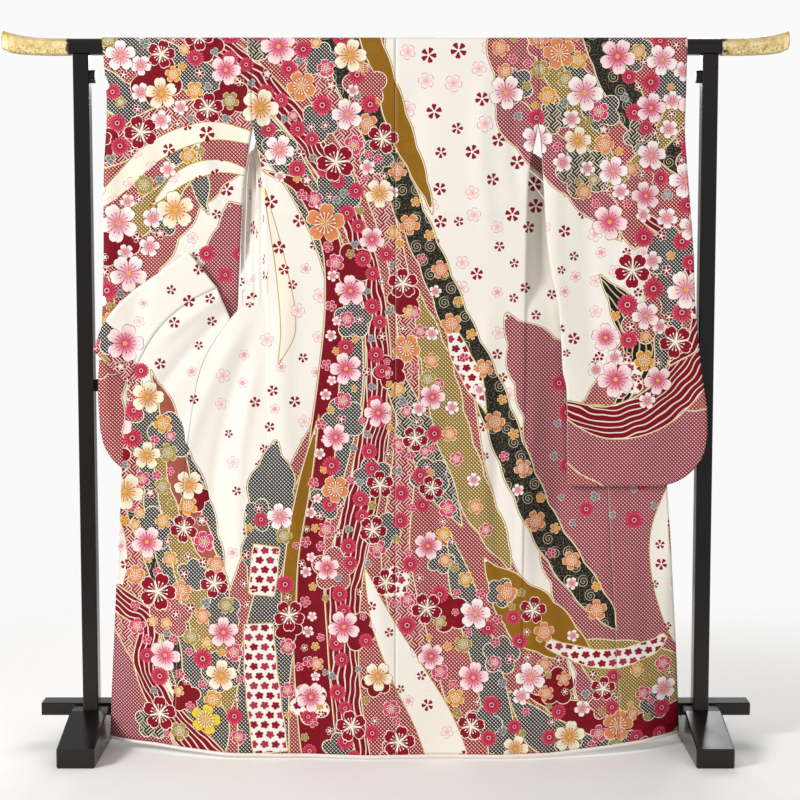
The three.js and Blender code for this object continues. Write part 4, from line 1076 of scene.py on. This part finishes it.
def sleeveRow(sleeve, share, down, front):
    fit = sleeveFit
    width = sleeve["outer"](sleeve["bottom"]) - sleeve["inner"](sleeve["bottom"])
    beside = np.maximum(0, sleeve["corner"] - (1 - share) * width)
    low = sleeve["bottom"] + sleeve["corner"] - np.sqrt(sleeve["corner"] ** 2 - beside ** 2)
    z = mix(fit["underRod"], low, down)
    drop = np.maximum(0, fit["underRod"] - z) / (fit["underRod"] - sleeve["bottom"])
    back = -form["rodLift"] - sleeve["backSwing"] * drop ** 1.2
    fore = np.maximum(form["rodLift"] - sleeve["frontSwing"] * drop ** 0.75, back + fit["sewnGap"])
    # sewn shut along the outer side below the wrist opening, and along the bottom
    sewn = np.maximum(ease((share - 0.72) / 0.26) * ease((form["shoulder"] - z - fit["wristOpening"]) / 60),
                      ease((down - 0.9) / 0.1))
    half = mix(fore - back, fit["sewnGap"], sewn) / 2
    fold = sum(depth * np.exp(-((share - at) / 0.09) ** 2) for at, depth in fit["folds"])
    fold = fold * ease((drop - 0.35) / 0.5) * (1 - ease((down - 0.93) / 0.07))
    middle = mix((fore + back) / 2, back + half, sewn)
    x = sleeve["side"] * mix(sleeveInner(sleeve, z), sleeve["outer"](z), share)
    return point(x, middle + (half if front else -half) + fold * 0.7, z)


def sleevePatch(sleeve):
    share = np.linspace(0, 1, sleeveFit["cells"] + 1)
    downs = steps(0, 1, form["cell"] / (sleeveFit["underRod"] - sleeve["bottom"]))
    back = [sleeveRow(sleeve, share, down, False) for down in downs[::-1]]
    front = [sleeveRow(sleeve, share, down, True) for down in downs]
    turns = np.linspace(0, 1, 15)
    crest = [point(sleeve["side"] * mix(sleeveInner(sleeve, z), sleeve["outer"](z), share), y, z)
             for y, z in map(overRod, turns)]
    designs = [seen(row) for row in back]
    designs += [overDesign(row[:, 0], t) for row, t in zip(crest, turns)]
    designs += [seen(row) for row in front]
    return clothPatch(settle(np.array(back + crest + front)), np.array(designs), (8, -1))


sleeveCloth = {name: clothObject("silkSleeve" + name, [sleevePatch(sleeve)], form["shell"], "sleeve")
               for name, sleeve in sleeves.items()}

# rolled hem of cream lining silk

hemRoll = {"radius": 3.6, "sides": 10, "below": 0.7}
line = [flat(x, form["hem"]) for x in np.linspace(670, 290, 60)]
line += [point(x, backY(x, form["hem"]), form["hem"]) for x in np.linspace(-270, 270, 84)]
width = rightFront["strip"](0) + rightFront["overlap"](0)
line += list(rightStrip(form["hem"], 14, width - 15, 59))
line = settle(np.array(line))
ahead = np.gradient(line, axis=0)
ahead[:, 2] = 0
ahead /= np.linalg.norm(ahead, axis=1, keepdims=True)
out = np.stack([-ahead[:, 1], ahead[:, 0], np.zeros(len(line))], axis=1)
rings = []
for a in np.arange(hemRoll["sides"]) * 2 * pi / hemRoll["sides"]:
    down = hemRoll["radius"] * (sin(a) - 1) - hemRoll["below"]
    rings.append(line + out * hemRoll["radius"] * cos(a) + np.array([0, 0, down]))
ring = np.stack(rings, axis=1)
index = np.arange(ring.shape[0] * ring.shape[1]).reshape(ring.shape[:2])
after = np.roll(index, -1, axis=1)
faces = np.stack([index[:-1], after[:-1], after[1:], index[1:]], axis=-1).reshape(-1, 4).tolist()
faces += [index[0, ::-1].tolist(), index[-1].tolist()]
mesh = bpy.data.meshes.new("rolledHem")
mesh.from_pydata((ring.reshape(-1, 3) * mm).tolist(), [], faces)
mesh.update()
mesh.polygons.foreach_set("use_smooth", np.ones(len(mesh.polygons), bool))
mesh.materials.append(clothMaterials[1])
hem = placed("rolledHem", mesh)
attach(hem, "root")
print("hem rolled")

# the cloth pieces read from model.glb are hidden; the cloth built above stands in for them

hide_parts("body_left")
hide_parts("body_right")
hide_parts("okumi_left")
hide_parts("okumi_right")
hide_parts("collar")
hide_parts("sleeve_left")
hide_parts("sleeve_right")
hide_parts("hem_roll")

# stand: the solids keep their shape and take their finishes

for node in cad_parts:
    solid = bpy.data.objects.get(node)
    if solid and not solid.hide_render:
        solid.data.materials.clear()
        solid.data.materials.append(goldLeaf if node.startswith("tip_") else lacquer)

# floor, light and camera

bpy.ops.object.select_all(action="DESELECT")
bpy.ops.mesh.primitive_plane_add(size=40, location=(0, 0, 0))
floor = bpy.context.object
floor.name = "paleFloor"
pale, tree, shader = newMaterial("paleFloor")
away = outputsOf(tree, "ShaderNodeVectorMath", {0: objectPlace(tree)}, operation="LENGTH")[1]
connect(tree, shader, {"Base Color": tint("#F2F1EE"), "Roughness": 0.8, "Alpha": away.band(2.3, 1.0)})
floor.data.materials.append(pale)

world = bpy.data.worlds.new("studio")
bpy.context.scene.world = world
world.use_nodes = True
tree = world.node_tree
seenShare = Value(tree, addNode(tree, "ShaderNodeLightPath").outputs["Is Camera Ray"])
strength = outputsOf(tree, "ShaderNodeMapRange", {0: seenShare, 3: 0.5, 4: 1.0})[0]
connect(tree, tree.nodes["Background"], {0: tint("#FAFAFB"), 1: strength})
bpy.context.scene.view_settings.view_transform = "Standard"


def softLight(name, place, aim, size, power):
    light = bpy.data.lights.new(name, "AREA")
    light.shape, light.size, light.energy = "SQUARE", size, power
    obj = placed(name, light)
    obj.location = place
    obj.rotation_euler = (Vector(aim) - Vector(place)).to_track_quat("-Z", "Y").to_euler()


softLight("keySoftbox", (-3.4, -2.5, 2.7), (0, 0, 0.9), 1.2, 150)
softLight("fillSoftbox", (2.8, -3.4, 2.2), (0, 0, 0.8), 2.0, 30)
softLight("backSoftbox", (0.6, 3.4, 2.8), (0, 0, 0.9), 2.0, 80)

view = {"lens": 79.11, "place": (0.010, -4.06, 1.173), "pitch": 5.06}
camera = bpy.data.cameras.new("camera")
camera.lens, camera.sensor_width = view["lens"], 36.0
cameraObject = placed("camera", camera)
cameraObject.location = view["place"]
cameraObject.rotation_euler = (radians(90 - view["pitch"]), 0, 0)
bpy.context.scene.camera = cameraObject

print("scene built")
